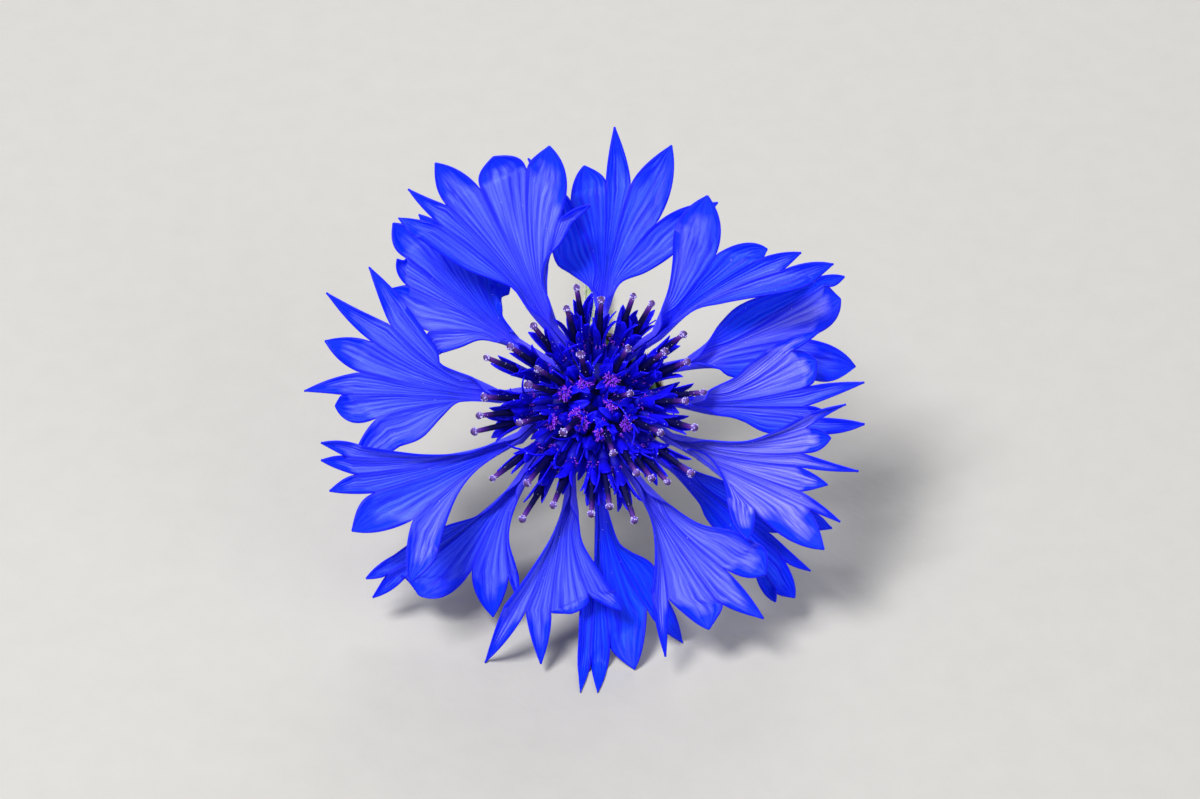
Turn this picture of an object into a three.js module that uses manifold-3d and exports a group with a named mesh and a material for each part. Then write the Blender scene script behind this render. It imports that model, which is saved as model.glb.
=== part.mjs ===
// A cornflower head (Centaurea cyanus) on a short cut stem, lying as it was put down.
// Millimetres. The head is built in its own frame: x to its right, y to its top, z out of its face,
// with z = 0 where the stem joins. That frame is then tipped back, so the head looks up and forward.
import * as THREE from 'three';
import Module from 'manifold-3d';
import { mergeVertices } from 'three/addons/utils/BufferGeometryUtils.js';

const wasm = await Module();
wasm.setup();

// ---- driving dimensions -------------------------------------------------------------------------
const PIECE_GAP = 0.3;           // play between separate pieces
const FACE_TILT = 41;            // degrees that the head's axis rises above the surface
const BASE_X = 0.9;              // where the stem joins the head, from the part's origin, which lies
const BASE_Y = -3.9;             // on the surface under the middle of the whole flower
const STEM_RADIUS = 1.0;
const STEM_NECK_RADIUS = 1.5;    // where it swells under the head
const STEM_NECK_LENGTH = 1.0;
const STEM_BEND_RADIUS = 18;
const STEM_LYING_LENGTH = 24;
const STEM_RIBS = 8;
const STEM_RIB_DEPTH = 0.12;

const CUP_HEIGHT = 14;           // involucre, from stem to mouth
const CUP_FLOOR = 5.2;           // top of the receptacle inside it
const CUP_MOUTH_RADIUS = 4.6;
const CUP_WALL = 0.6;
const CUP_SIDES = 18;
const SCALES_IN_ROW = [8, 9, 10, 10, 11];
const SCALE_LENGTH = 4.3;
const SCALE_WIDTH = 3.0;
const SCALE_LIFT = 0.5;          // of its keel off the cup
const SCALE_SINK = 0.45;         // of its root into the cup
const SCALE_TURN = 0.31;         // radians, of each row of scales against the one below
// Radius and height down the outside of the cup, and then down its inside.
const CUP_PROFILE = [
  [1.5, 0], [3.3, 1.2], [4.8, 3.2], [5.4, 5.8], [5.3, 8.4], [5.0, 11],
  [CUP_MOUTH_RADIUS + CUP_WALL, CUP_HEIGHT],
];
const CUP_INSIDE = [
  [CUP_MOUTH_RADIUS, CUP_HEIGHT], [4.5, 11], [4.5, 5.7], [3.8, CUP_FLOOR], [0, CUP_FLOOR],
];

const RAY_ROOT_CIRCLE = 3.55;    // radius of the ring of ray florets inside the cup
const RAY_ROOT_DEPTH = CUP_FLOOR + 0.9;
const RAY_TUBE_RADIUS = 0.45;
const RAY_TUBE_SIDES = 6;
const RAY_BEND_HEIGHT = 12.6;    // where the tube starts to lean out of the cup
const RAY_CREST_CIRCLE = 4.5;    // radius at which it passes over the cup's mouth
const RAY_CREST_CLEARANCE = 0.95;
const RAY_TUBE_ARCH = 0.18;      // how far it bows up between there and its blade
const RAY_TURNS = [0, 0, 0.05, 0.3, 0.7, 1];   // how far it has turned toward its blade, on its way
const BLADE_THICKNESS = 0.75;    // measured along the head's axis, so 0.6 or more across the blade
const BLADE_ROOT_WIDTH = 0.9;
const BLADE_ROOT_OVERLAP = 0.5;  // of the tube with the blade
const BLADE_ROWS = [0, 0.22, 0.55, 1];
const SEAM_BOW = 0.45;           // where the seams between lobes turn toward their notches
const CURL_REACH = 1.9;          // a blade curls up most at half of this share of its length
const LOBE_ROWS = [0.4, 0.8];
const LOBE_CREASE = 0.35;        // how far a lobe's middle sinks below its edges
const LOBE_POINT = 0.12;         // half width of a lobe's tip
const LOBE_FULLNESS = 1.6;       // 1 for a triangle, 3 for a round lobe
const FIRST_ROOT_ANGLE = 86;     // degrees, of the ray floret at the top

// Three layers of ray florets: height of the blade's start, its rise per millimetre, and how far its
// sides curl up.
const LAYERS = {
  front: { start: 16.6, rise: 0.12, curl: 1.2 },
  middle: { start: 15.6, rise: 0.04, curl: 0.9 },
  back: { start: 14.7, rise: -0.06, curl: 0.7 },
};

// The ray florets, clockwise from the top one. Each opens at one point into a slanted trumpet, whose
// left and right borders run out to where its first and last lobes part from it. Lobes go clockwise;
// a tip's third number bends that lobe up or down, and its fourth is its fullness. Notches lie between.
const RAYS = [
  {
    layer: 'back', opens: [0.6, 7.6],
    left: [[-0.4, 9.4], [-2, 10.6], [-3.2, 11.5], [-3.7, 13.9], [-3.5, 15.9]],
    right: [[2, 9.8], [4.1, 10.7], [5.9, 11.8], [7.2, 12.9]],
    tips: [[-5.5, 20.1], [-0.9, 19.5, 0, 2.6], [1.6, 22.7, 0, 1.5], [6.3, 21.2, 0, 2], [10.1, 16.5]],
    notches: [[-2, 16.6], [0.9, 17.4], [2.9, 17.9], [5, 14.7]],
  },
  {
    layer: 'front', opens: [5, 5.5],
    left: [[5.9, 9], [6.3, 11.5], [6.3, 12.7], [6.4, 13.8]],
    right: [[7.9, 7.5], [10.2, 8.1], [11.2, 8.3], [15.9, 9.1], [17.5, 9.7]],
    tips: [[9.1, 16.8, 0, 4], [14, 12.5, 0, 2], [16.7, 12.2, 0, 1.3], [19.2, 11.2, 0, 1.3]],
    notches: [[9.8, 12], [13.2, 11.6], [14.9, 10.6]],
  },
  {
    layer: 'back', opens: [7.6, 3.2],
    left: [[9.2, 5], [10.3, 6.6], [12.2, 8.2], [16.7, 9.7]],
    right: [[9, 2.9], [10.2, 2.8], [11.6, 2.1], [17.9, 1.9]],
    tips: [[20.5, 10.4, 0, 2], [20.2, 8.6, 0, 2.6], [21.5, 3, -1.6, 2.4]],
    notches: [[18.8, 9.6], [16.9, 5.3]],
  },
  {
    layer: 'middle', opens: [7.9, -0.1],
    left: [[9, 0.9], [10.2, 1.5], [11.4, 2.1], [12.6, 3.2], [13.8, 4.1]],
    right: [[9.4, -0.9], [11, -1.1], [12.2, -1.5], [14.1, -2.4], [17.7, -2.5]],
    tips: [[18.2, 5.8, 0, 1.3], [18, 3.5, 0, 3], [21.9, 1.7], [18.8, -0.8], [21.9, -1.7, 0, 2.6]],
    notches: [[15.9, 4.2], [16.9, 1.2], [16.9, -0.3], [17.7, -1.2]],
  },
  {
    layer: 'front', opens: [6.1, -2.9],
    left: [[9, -3], [12.2, -3.1], [14.7, -2.2], [16.7, -1.1]],
    right: [[8.5, -3.9], [9.5, -4.6], [10.3, -5.9], [10.7, -7.5]],
    tips: [
      [20.2, -0.1, 0, 1.2], [19, -2.8, 0, 3], [21.3, -5.5, 0, 1.2], [18.8, -6.6, 0, 1.3],
      [19.8, -9.6, 0, 1.2], [18.5, -11.8, 0, 2], [12.3, -11, 1.4, 2.4],
    ],
    notches: [[17, -2], [16.5, -4], [15.9, -5], [16.5, -7.1], [16.9, -8.3], [12.8, -8.5]],
  },
  {
    layer: 'back', opens: [5.9, -4.8],
    left: [[8.5, -5.7], [10.3, -6.3], [16.7, -8.9]],
    right: [[6.5, -5.8], [8.5, -8.1], [9.4, -9.8], [13.2, -14.2]],
    tips: [[19.5, -10.3], [17.7, -13.8, 0, 1.3], [16.4, -16, 0, 2], [14.8, -16.3]],
    notches: [[14.2, -10.6], [15, -12.2], [14.7, -15.1]],
  },
  {
    layer: 'front', opens: [3.7, -6.7],
    left: [[6.1, -8.3], [8.5, -9.8], [11, -10.3], [12.8, -11.2]],
    right: [[4.6, -9.5], [4.9, -12.4], [4.6, -15.2]],
    tips: [[13.8, -13.8, 0, 3], [13.6, -17.4], [9.2, -18.3, 0, 2], [5.7, -20.5, 0, 1.4]],
    notches: [[10.3, -13.3], [9.8, -15.9], [5.9, -15.8]],
  },
  {
    layer: 'back', rise: 0.06, opens: [0.2, -6.7],
    left: [[0.9, -8.3], [1.8, -11.2], [2.8, -12.1], [4.7, -13.2], [5.9, -16]],
    right: [[0.1, -7.9], [0, -12.8], [-1.1, -16], [-1.3, -19.3]],
    tips: [[7.2, -19.7, -2.6, 2.2], [3.2, -21.7, 0, 2.2], [0.2, -23.4], [-1.2, -23.4]],
    notches: [[4.2, -16.7], [1.1, -18.6], [-0.4, -20.5]],
  },
  {
    layer: 'front', rise: 0.02, opens: [-2, -7.5],
    left: [[-1.4, -8.7], [-1.1, -11.2], [0.2, -13.4], [1.4, -15.1]],
    right: [[-2.8, -9.1], [-3.7, -11.2], [-5.5, -14], [-7.3, -16.4]],
    tips: [[2.2, -16.8], [-2, -17.1, 0, 3], [-4.4, -21.2], [-9, -21.2, -3]],
    notches: [[-0.6, -15.4], [-3.6, -16.9], [-5.6, -16.8]],
  },
  {
    layer: 'back', opens: [-6.1, -6.4],
    left: [[-6.8, -9.1], [-7.1, -11.2], [-6.5, -13.4]],
    right: [[-7.7, -7.7], [-9.5, -9.2], [-12, -10], [-14.2, -10.9], [-16.5, -12.5]],
    tips: [[-6.4, -15.8], [-8.4, -17.6, 0, 1.9], [-14.5, -15.8, 0, 2.6], [-18.3, -16], [-18.8, -14.4]],
    notches: [[-7.1, -14.1], [-10.1, -13.7], [-15.7, -14.4], [-17, -14]],
  },
  {
    layer: 'front', opens: [-6.1, -2.8],
    left: [[-6.9, -3.6], [-9.4, -5.2], [-11, -7.1], [-12, -9.5], [-12.6, -11.6]],
    right: [[-7.7, -3], [-10.2, -4], [-13.4, -4.2], [-16.3, -3.9], [-18.7, -3.5]],
    tips: [[-14.9, -14.5, 0, 2], [-19.6, -10.3, 0, 2.4], [-21.5, -7.1], [-22.1, -4.6], [-22.1, -3.2]],
    notches: [[-14.7, -9.4], [-17.7, -7.2], [-19.1, -5.8], [-19.8, -4.4]],
  },
  {
    layer: 'middle', opens: [-7.7, 0.5],
    left: [[-9.4, 0.2], [-11.2, 0.1], [-12.5, -1.1], [-14.1, -2.8], [-15.9, -3.5]],
    right: [[-9.8, 2], [-12.5, 3.1], [-12.8, 4.2], [-13.8, 5.7], [-15.2, 7.7]],
    tips: [
      [-19.9, -5.5], [-21.2, -0.2, 0, 3], [-23.7, 1, 0, 1.2], [-22, 5.1, 0, 2.2], [-21.9, 9, 0, 1.2],
      [-18.4, 11.1, 0, 1.3],
    ],
    notches: [[-17.7, -1.2], [-20.1, 0.7], [-19.1, 2.5], [-18, 4.9], [-16.6, 6.3]],
  },
  {
    layer: 'back', opens: [-6.5, 4.9],
    left: [[-7.7, 4.9], [-9.4, 5.2], [-11, 4.6], [-12.6, 4.1]],
    right: [[-7.5, 6.9], [-7.6, 7.7]],
    tips: [
      [-13.8, 4.2], [-16.8, 9.4, 0, 2], [-16.2, 11.8, 0, 1.3], [-16.6, 14.8, 0, 2.5],
      [-14.5, 15.5, 0, 1.2], [-7.1, 8.9],
    ],
    notches: [[-13.6, 5.9], [-15.1, 9.4], [-15.5, 11.9], [-13.4, 13.4], [-10, 12.5]],
  },
  {
    layer: 'front', opens: [-3.4, 5.9],
    left: [[-5.3, 7.4], [-6.5, 9.2], [-7.7, 9.8], [-10.2, 10.7], [-12.2, 11.9], [-14.2, 13.3]],
    right: [[-3.7, 8.2], [-4.3, 10], [-3.9, 11.8], [-2.8, 12.9], [-1.8, 14.7]],
    tips: [
      [-15.9, 15, 0, 1.4], [-15.1, 17.3, 0, 1.2], [-12.9, 19.4, 0, 2.4], [-8.2, 19.9, 0, 3.4],
      [-3.7, 20.8, 0, 2.2], [-0.4, 16, 0, 1.8],
    ],
    notches: [[-12.2, 14.2], [-11.9, 15.9], [-9.2, 17.2], [-5.5, 18.8], [-3, 14.7]],
  },
];

// Tips of the open disc florets and of the unopened ones in the middle.
const OPEN_FLORETS = [
  [-1.5, 9.4], [-2.3, 7.7], [0.5, 8.4], [3.1, 8.7], [4.6, 8.1], [7.2, 5.6], [5.7, 4.2], [7.5, 3.4],
  [8.8, 0.9], [7.4, 0.2], [2.9, 0.8], [5.4, -2.4], [8.1, -2.0], [7.8, -5.7], [5.9, -6.4], [4.6, -6.1],
  [3.4, -5.7], [1.5, -4.1], [1.2, -8.4], [3.2, -9.5], [-0.3, -9.0], [-3.4, -8.3], [-5.9, -9.4],
  [-5.5, -6.5], [-8.3, -6.1], [-9.8, -2.3], [-9.4, -1.0], [-6.2, -1.6], [-9.0, 0.5], [-5.5, 1.5],
  [-8.8, 3.7], [-6.9, 4.6], [-5.0, 6.3], [-4.7, 2.8], [-1.2, 4.0], [2.7, 4.5], [-2.6, -2.4],
];
const BUDS = [
  [-2.5, 0.8], [-0.8, 1.5], [1.2, 1.9], [1.4, 0.0], [2.5, -1.6], [0.5, -2.4], [-1.1, -1.5],
  [-1.5, -1.0], [-3.4, -1.4],
];
const PACKED_RADIUS = 2.7;       // of the packed floret tubes inside the cup
const PACKED_TOP = 18;
const PACKED_SIDES = 12;
const SHOULDER_RADIUS = 4.3;     // of the packed tubes, where the open florets part
const PACKED_PROFILE = [
  [0, CUP_FLOOR + PIECE_GAP], [PACKED_RADIUS, 6], [PACKED_RADIUS, 13.4], [3.44, 16],
  [SHOULDER_RADIUS, 17.2], [3.2, PACKED_TOP], [0, PACKED_TOP + 0.3],
];
const FLORET_ROOTS = [[1.7, 14.6], [3.2, 16.8]];   // radius and height, on an open floret's way out
const FLORET_RADII = [0.5, 0.5, 0.85];   // of its tube, there and at its mouth
const FLORET_MOUTH = 0.62;       // share of its tip's distance from the axis
const FLORET_LOBES = 5;
const FLORET_LOBE_LENGTH = 2.2;
const FLORET_LOBE_SPREAD = 34;   // degrees off the floret's own axis
const FLORET_TURN = 0.9;         // radians, from the lobes of one floret to those of the next
const FLORET_TOP = 23.0;         // height of the innermost anther tips
const FLORET_TOP_FALL = 0.08;    // how much lower they are for each millimetre outwards
const ANTHER_RADIUS = 0.42;
const ANTHER_HEIGHT = 3.4;       // from mouth to tip, along the head's axis
const ANTHER_BOW = 0.3;
const BUD_PATH = [[0.7, 17.4], [0.95, 18.7], [1, 20.2]];   // share of its distance out, and height
const BUD_RADII = [0.6, 0.75, 0.22];
const BUD_SIDES = 6;

const SOURCE_COLOURS = {
  stem: 0x7f9a6a, cup: 0x6f8a4e, ray: 0x4b52f5, disc: 0x1c14a8,
};

// ---- worked out from them -----------------------------------------------------------------------
const tilt = THREE.MathUtils.degToRad(FACE_TILT);
const rise = Math.sin(tilt);
const lean = Math.cos(tilt);
const stemDrop = STEM_BEND_RADIUS * (1 - lean) + (PIECE_GAP + STEM_NECK_LENGTH) * rise;
const surfaceHeight = -(stemDrop + STEM_RADIUS);   // of the surface, from the head's base

/** Depth in the head's frame, at height y on its face, of the surface that the flower lies on. */
function surfaceDepth(y) {
  return (surfaceHeight - y * lean) / rise;
}

/** A closed body from points and triangles. */
function body(points, triangles) {
  const geometry = new THREE.BufferGeometry();
  geometry.setAttribute('position', new THREE.Float32BufferAttribute(points.flat(), 3));
  geometry.setIndex(triangles.flat());
  return geometry;
}

function toSolid(geometry) {
  const bare = geometry.clone();
  bare.deleteAttribute('normal');
  bare.deleteAttribute('uv');
  const merged = mergeVertices(bare, 1e-4);
  return new wasm.Manifold(new wasm.Mesh({
    numProp: 3,
    vertProperties: Float32Array.from(merged.attributes.position.array),
    triVerts: Uint32Array.from(merged.index.array),
  }));
}

function toGeometry(solid) {
  const mesh = solid.getMesh();
  const geometry = new THREE.BufferGeometry();
  geometry.setAttribute('position', new THREE.BufferAttribute(mesh.vertProperties, 3));
  geometry.setIndex(new THREE.BufferAttribute(mesh.triVerts, 1));
  return geometry;
}

/** One body out of many overlapping ones, with any hollow that they close off filled. */
function fuse(geometries) {
  const joined = geometries.map(toSolid).reduce((sum, solid) => sum.add(solid));
  const shells = joined.decompose().filter((shell) => shell.volume() > 0);
  return toGeometry(shells.reduce((sum, shell) => sum.add(shell)));
}

/** Rings of points square to a path, with no twist from one to the next. */
function rings(path, radii, sides, ripple = () => 1, firstTurn = 0) {
  const side = new THREE.Vector3(1, 0, 0);
  return path.map((centre, i) => {
    const before = path[Math.max(i - 1, 0)];
    const after = path[Math.min(i + 1, path.length - 1)];
    const along = after.clone().sub(before).normalize();
    if (i === 0 && Math.abs(along.x) > 0.9) side.set(0, 1, 0);
    side.addScaledVector(along, -side.dot(along)).normalize();
    const sideHere = side.clone();
    const across = along.clone().cross(side);
    const at = (k, radius) => {
      const turn = firstTurn + (2 * Math.PI * k) / sides;
      return centre.clone()
        .addScaledVector(sideHere, radius * Math.cos(turn))
        .addScaledVector(across, radius * Math.sin(turn));
    };
    const points = Array.from({ length: sides }, (_, k) => at(k, radii[i] * ripple(k)).toArray());
    return { along, at, points };
  });
}

/** Triangles between one ring of points and the next. */
function band(lower, upper, sides) {
  const triangles = [];
  for (let k = 0; k < sides; k++) {
    const next = (k + 1) % sides;
    triangles.push([lower + k, lower + next, upper + next], [lower + k, upper + next, upper + k]);
  }
  return triangles;
}

/** Triangles that close the first and last rings of a list of rings. */
function caps(last, sides) {
  const triangles = [];
  for (let k = 1; k < sides - 1; k++) triangles.push([0, k + 1, k], [last, last + k, last + k + 1]);
  return triangles;
}

/** A tapering rod along a list of points, closed at both ends. */
function rod(path, radii, sides, ripple) {
  const points = rings(path, radii, sides, ripple).flatMap((ring) => ring.points);
  const triangles = caps((path.length - 1) * sides, sides);
  for (let i = 0; i < path.length - 1; i++) triangles.push(...band(i * sides, (i + 1) * sides, sides));
  return body(points, triangles);
}

function polar(radius, angle, z) {
  return new THREE.Vector3(radius * Math.cos(angle), radius * Math.sin(angle), z);
}

// ---- stem ---------------------------------------------------------------------------------------
/** The cut stem, in the part's own frame: down from the head, round its bend, then along the surface. */
function stem() {
  const down = new THREE.Vector3(0, lean, -rise);
  const start = down.clone().multiplyScalar(PIECE_GAP);
  const bendStart = down.clone().multiplyScalar(PIECE_GAP + STEM_NECK_LENGTH);
  const path = [start, bendStart];
  const radii = [STEM_NECK_RADIUS, STEM_RADIUS];
  const bendSteps = 6;
  const centre = bendStart.clone().addScaledVector(new THREE.Vector3(0, rise, lean), STEM_BEND_RADIUS);
  for (let i = 1; i <= bendSteps; i++) {
    const angle = tilt * (1 - i / bendSteps);
    const arm = new THREE.Vector3(0, -Math.sin(angle), -Math.cos(angle));
    path.push(centre.clone().addScaledVector(arm, STEM_BEND_RADIUS));
    radii.push(STEM_RADIUS);
  }
  const laid = path[path.length - 1];
  path.push(laid.clone().add(new THREE.Vector3(0, STEM_LYING_LENGTH / 2, 0)));
  path.push(laid.clone().add(new THREE.Vector3(0, STEM_LYING_LENGTH, 0)));
  radii.push(STEM_RADIUS, STEM_RADIUS);
  return rod(path, radii, STEM_RIBS * 2, (k) => (k % 2 ? 1 - STEM_RIB_DEPTH : 1));
}

// ---- involucre ----------------------------------------------------------------------------------
function cupRadius(z) {
  const i = CUP_PROFILE.findIndex(([, height], k) => k > 0 && height >= z);
  const [r0, z0] = CUP_PROFILE[i - 1];
  const [r1, z1] = CUP_PROFILE[i];
  return r0 + ((r1 - r0) * (z - z0)) / (z1 - z0);
}

/** The cup that holds the florets, with its overlapping scales. */
function involucre() {
  const profile = [[0, 0], ...CUP_PROFILE, ...CUP_INSIDE].map(([r, z]) => new THREE.Vector2(r, z));
  const wall = new THREE.LatheGeometry(profile, CUP_SIDES);
  wall.rotateX(Math.PI / 2);
  const pieces = [wall];
  const rowStep = (CUP_HEIGHT - SCALE_LENGTH - 0.4) / (SCALES_IN_ROW.length - 1);
  for (let row = 0; row < SCALES_IN_ROW.length; row++) {
    for (let i = 0; i < SCALES_IN_ROW[row]; i++) {
      const angle = (2 * Math.PI * (i + row * 0.5)) / SCALES_IN_ROW[row] + row * SCALE_TURN;
      pieces.push(scale(0.25 + row * rowStep, angle));
    }
  }
  return fuse(pieces);
}

/** One scale: a pointed keeled blade with its root sunk in the cup. */
function scale(z, angle) {
  const at = (share, lift, offset) => {
    const height = z + share * SCALE_LENGTH;
    const radius = cupRadius(height) + lift;
    return polar(radius, angle + offset / cupRadius(height), height).toArray();
  };
  const half = SCALE_WIDTH / 2;
  const points = [
    at(0.02, -SCALE_SINK, 0), at(0.5, 0.05, -half), at(0.5, 0.05, half), at(0.55, SCALE_LIFT, 0),
    at(1, SCALE_LIFT * 0.9, 0), at(0.6, -SCALE_SINK, 0),
  ];
  return body(points, [
    [0, 3, 1], [0, 2, 3], [1, 3, 4], [3, 2, 4], [1, 5, 0], [0, 5, 2], [4, 5, 1], [2, 5, 4],
  ]);
}

// ---- ray florets --------------------------------------------------------------------------------
/** One ray floret: its narrow tube, and the thin lobed trumpet at the end of it. */
function rayFloret(ray, index) {
  return fuse([rayTube(ray, index), rayBlade(ray)]);
}

function rayTube(ray, index) {
  const rootAngle = THREE.MathUtils.degToRad(FIRST_ROOT_ANGLE - (index * 360) / RAYS.length);
  const [x, y] = ray.opens;
  let openAngle = Math.atan2(y, x);
  openAngle += 2 * Math.PI * Math.round((rootAngle - openAngle) / (2 * Math.PI));
  const openRadius = Math.hypot(x, y);
  const openDepth = LAYERS[ray.layer].start - BLADE_THICKNESS / 2;
  const crest = CUP_HEIGHT + RAY_CREST_CLEARANCE;
  const path = [
    [RAY_ROOT_CIRCLE, RAY_ROOT_DEPTH],
    [RAY_ROOT_CIRCLE, RAY_BEND_HEIGHT],
    [RAY_ROOT_CIRCLE + 0.2, CUP_HEIGHT + 0.2],
    [RAY_CREST_CIRCLE, crest],
    [(RAY_CREST_CIRCLE + openRadius) / 2, (crest + openDepth) / 2 + RAY_TUBE_ARCH],
    [openRadius + BLADE_ROOT_OVERLAP, openDepth],
  ].map(([radius, z], i) => polar(radius, rootAngle + (openAngle - rootAngle) * RAY_TURNS[i], z));
  const radii = path.map(() => RAY_TUBE_RADIUS);
  radii[radii.length - 1] = RAY_TUBE_RADIUS * 0.75;
  return rod(path, radii, RAY_TUBE_SIDES);
}

/** Border curves of a ray's trumpet, from its opening to the notches between its lobes. */
function raySeams(ray) {
  const start = new THREE.Vector2(...ray.opens);
  const out = start.clone().normalize();
  const sideways = new THREE.Vector2(-out.y, out.x);
  const count = ray.tips.length;
  const rootAt = (k) => start.clone().addScaledVector(sideways, BLADE_ROOT_WIDTH * (0.5 - k / count));
  const border = (k, points) => {
    return new THREE.SplineCurve([rootAt(k), ...points.map((point) => new THREE.Vector2(...point))]);
  };
  const inner = ray.notches.map((notch, k) => {
    const end = new THREE.Vector2(...notch);
    const root = rootAt(k + 1);
    const bow = end.clone().sub(root).dot(out) * SEAM_BOW;
    return new THREE.QuadraticBezierCurve(root, root.clone().addScaledVector(out, bow), end);
  });
  return [border(0, ray.left), ...inner, border(count, ray.right)];
}

function addPoint(sheet, place, z) {
  return sheet.points.push([place.x, place.y, z]) - 1;
}

/** Triangles between one line of a sheet's points and the next. */
function strip(sheet, near, far) {
  for (let j = 0; j < near.length - 1; j++) {
    sheet.faces.push([near[j], near[j + 1], far[j + 1]], [near[j], far[j + 1], far[j]]);
  }
}

/** The blade of one ray floret: its joined rows, and then its free lobes. */
function rayBlade(ray) {
  const layer = LAYERS[ray.layer];
  const rayRise = ray.rise ?? layer.rise;
  const start = new THREE.Vector2(...ray.opens);
  const count = ray.tips.length;
  const seams = raySeams(ray);
  const sheet = { points: [], faces: [] };
  // depth at a place that is some share of the way across the blade and along it
  const depth = (place, across, along) => {
    const curl = layer.curl * along * (CURL_REACH - along) * (2 * across - 1) ** 2;
    return layer.start + rayRise * place.distanceTo(start) + curl;
  };
  // each row is a seam, a lobe's middle, a seam, and so on
  const rows = BLADE_ROWS.map((along) => {
    const line = [];
    for (let k = 0; k <= count; k++) {
      const place = seams[k].getPoint(along);
      line.push(addPoint(sheet, place, depth(place, k / count, along)));
      if (k < count) {
        const middle = place.clone().lerp(seams[k + 1].getPoint(along), 0.5);
        const z = depth(middle, (k + 0.5) / count, along) - LOBE_CREASE * along;
        line.push(addPoint(sheet, middle, z));
      }
    }
    return line;
  });
  rows.slice(1).forEach((row, i) => strip(sheet, rows[i], row));
  const mouth = rows[rows.length - 1];
  const outline = rows.map((line) => line[0]);
  ray.tips.forEach((tip, k) => {
    const foot = mouth.slice(2 * k, 2 * k + 3);
    const ends = [seams[k].getPoint(1), seams[k + 1].getPoint(1)];
    if (k > 0) outline.push(mouth[2 * k]);
    outline.push(...lobe(sheet, foot, ends, tip, (place) => depth(place, (k + 0.5) / count, 1)));
  });
  outline.push(...rows.map((line) => line[2 * count]).reverse());
  outline.push(...rows[0].slice(1, -1).reverse());
  return thicken(sheet, outline);
}

/** One free lobe, from the line between its notches to its tip. Returns the points along its edge. */
function lobe(sheet, foot, [a, b], [x, y, bend = 0, fullness = LOBE_FULLNESS], depthAt) {
  const root = a.clone().lerp(b, 0.5);
  const end = new THREE.Vector2(x, y);
  const along = end.clone().sub(root).normalize();
  const half = b.clone().sub(a).multiplyScalar(0.5);
  const square = new THREE.Vector2(along.y, -along.x).multiplyScalar(half.length());
  const left = [];
  const right = [];
  let last = foot;
  [...LOBE_ROWS, 1].forEach((t) => {
    const middle = root.clone().lerp(end, t);
    const slant = half.clone().lerp(square, t);
    const width = Math.max(1 - t ** fullness, LOBE_POINT / half.length());
    const z = depthAt(middle) + bend * t * t;
    const next = [
      addPoint(sheet, middle.clone().addScaledVector(slant, -width), z),
      addPoint(sheet, middle, z - LOBE_CREASE * (1 - t)),
      addPoint(sheet, middle.clone().addScaledVector(slant, width), z),
    ];
    strip(sheet, last, next);
    left.push(next[0]);
    right.unshift(next[2]);
    last = next;
  });
  return [...left, last[1], ...right];
}

/** A blade under a sheet, lifted to rest on the surface wherever it would pass below it. */
function thicken({ points, faces }, outline) {
  const n = points.length;
  const under = points.map(([x, y, z]) => [x, y, Math.max(z - BLADE_THICKNESS, surfaceDepth(y))]);
  const over = under.map(([x, y, z]) => [x, y, z + BLADE_THICKNESS]);
  const triangles = [...faces, ...faces.map(([a, b, c]) => [a + n, c + n, b + n])];
  outline.forEach((a, i) => {
    const b = outline[(i + 1) % outline.length];
    triangles.push([a, b, b + n], [a, b + n, a + n]);
  });
  return body([...over, ...under], triangles);
}

// ---- disc florets -------------------------------------------------------------------------------
/** The packed tubes, the open florets that lean out of them, and the buds in the middle. */
function discFlorets() {
  const profile = PACKED_PROFILE.map(([r, z]) => new THREE.Vector2(r, z));
  const packed = new THREE.LatheGeometry(profile, PACKED_SIDES);
  packed.rotateX(Math.PI / 2);
  const open = OPEN_FLORETS.map(([x, y], i) => openFloret(x, y, i));
  const buds = BUDS.map(([x, y]) => {
    const path = BUD_PATH.map(([share, z]) => new THREE.Vector3(x * share, y * share, z));
    return rod(path, BUD_RADII, BUD_SIDES);
  });
  return fuse([packed, ...open, ...buds]);
}

/** An open floret: its tube, the strap lobes round its mouth, and the column of anthers in them. */
function openFloret(x, y, index) {
  const angle = Math.atan2(y, x);
  const reach = Math.hypot(x, y);
  const top = FLORET_TOP - FLORET_TOP_FALL * reach;
  const mouth = polar(reach * FLORET_MOUTH, angle, top - ANTHER_HEIGHT);
  const tip = new THREE.Vector3(x, y, top);
  const bow = new THREE.Vector3(0, 0, ANTHER_BOW);
  const path = [
    ...FLORET_ROOTS.map(([radius, z]) => polar(radius, angle, z)),
    mouth, mouth.clone().lerp(tip, 0.04), mouth.clone().lerp(tip, 0.5).add(bow), tip,
  ];
  const radii = [...FLORET_RADII, ANTHER_RADIUS, ANTHER_RADIUS, ANTHER_RADIUS * 0.75];
  const sides = FLORET_LOBES;
  const ringList = rings(path, radii, sides, () => 1, index * FLORET_TURN);
  const points = ringList.flatMap((ring) => ring.points);
  const triangles = caps((path.length - 1) * sides, sides);
  for (const i of [0, 1, 3, 4]) triangles.push(...band(i * sides, (i + 1) * sides, sides));
  // between the mouth's ring and the column's foot, the band is drawn out into the lobes
  const rim = 2 * sides;
  const { along, at } = ringList[2];
  const spread = THREE.MathUtils.degToRad(FLORET_LOBE_SPREAD);
  const outward = FLORET_RADII[2] + FLORET_LOBE_LENGTH * Math.sin(spread);
  for (let k = 0; k < sides; k++) {
    const end = at(k + 0.5, outward).addScaledVector(along, FLORET_LOBE_LENGTH * Math.cos(spread));
    const point = points.push(end.toArray()) - 1;
    const [a, b] = [rim + k, rim + ((k + 1) % sides)];
    const [c, d] = [a + sides, b + sides];
    triangles.push([a, b, point], [d, c, point], [b, d, point], [c, a, point]);
  }
  return body(points, triangles);
}

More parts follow.
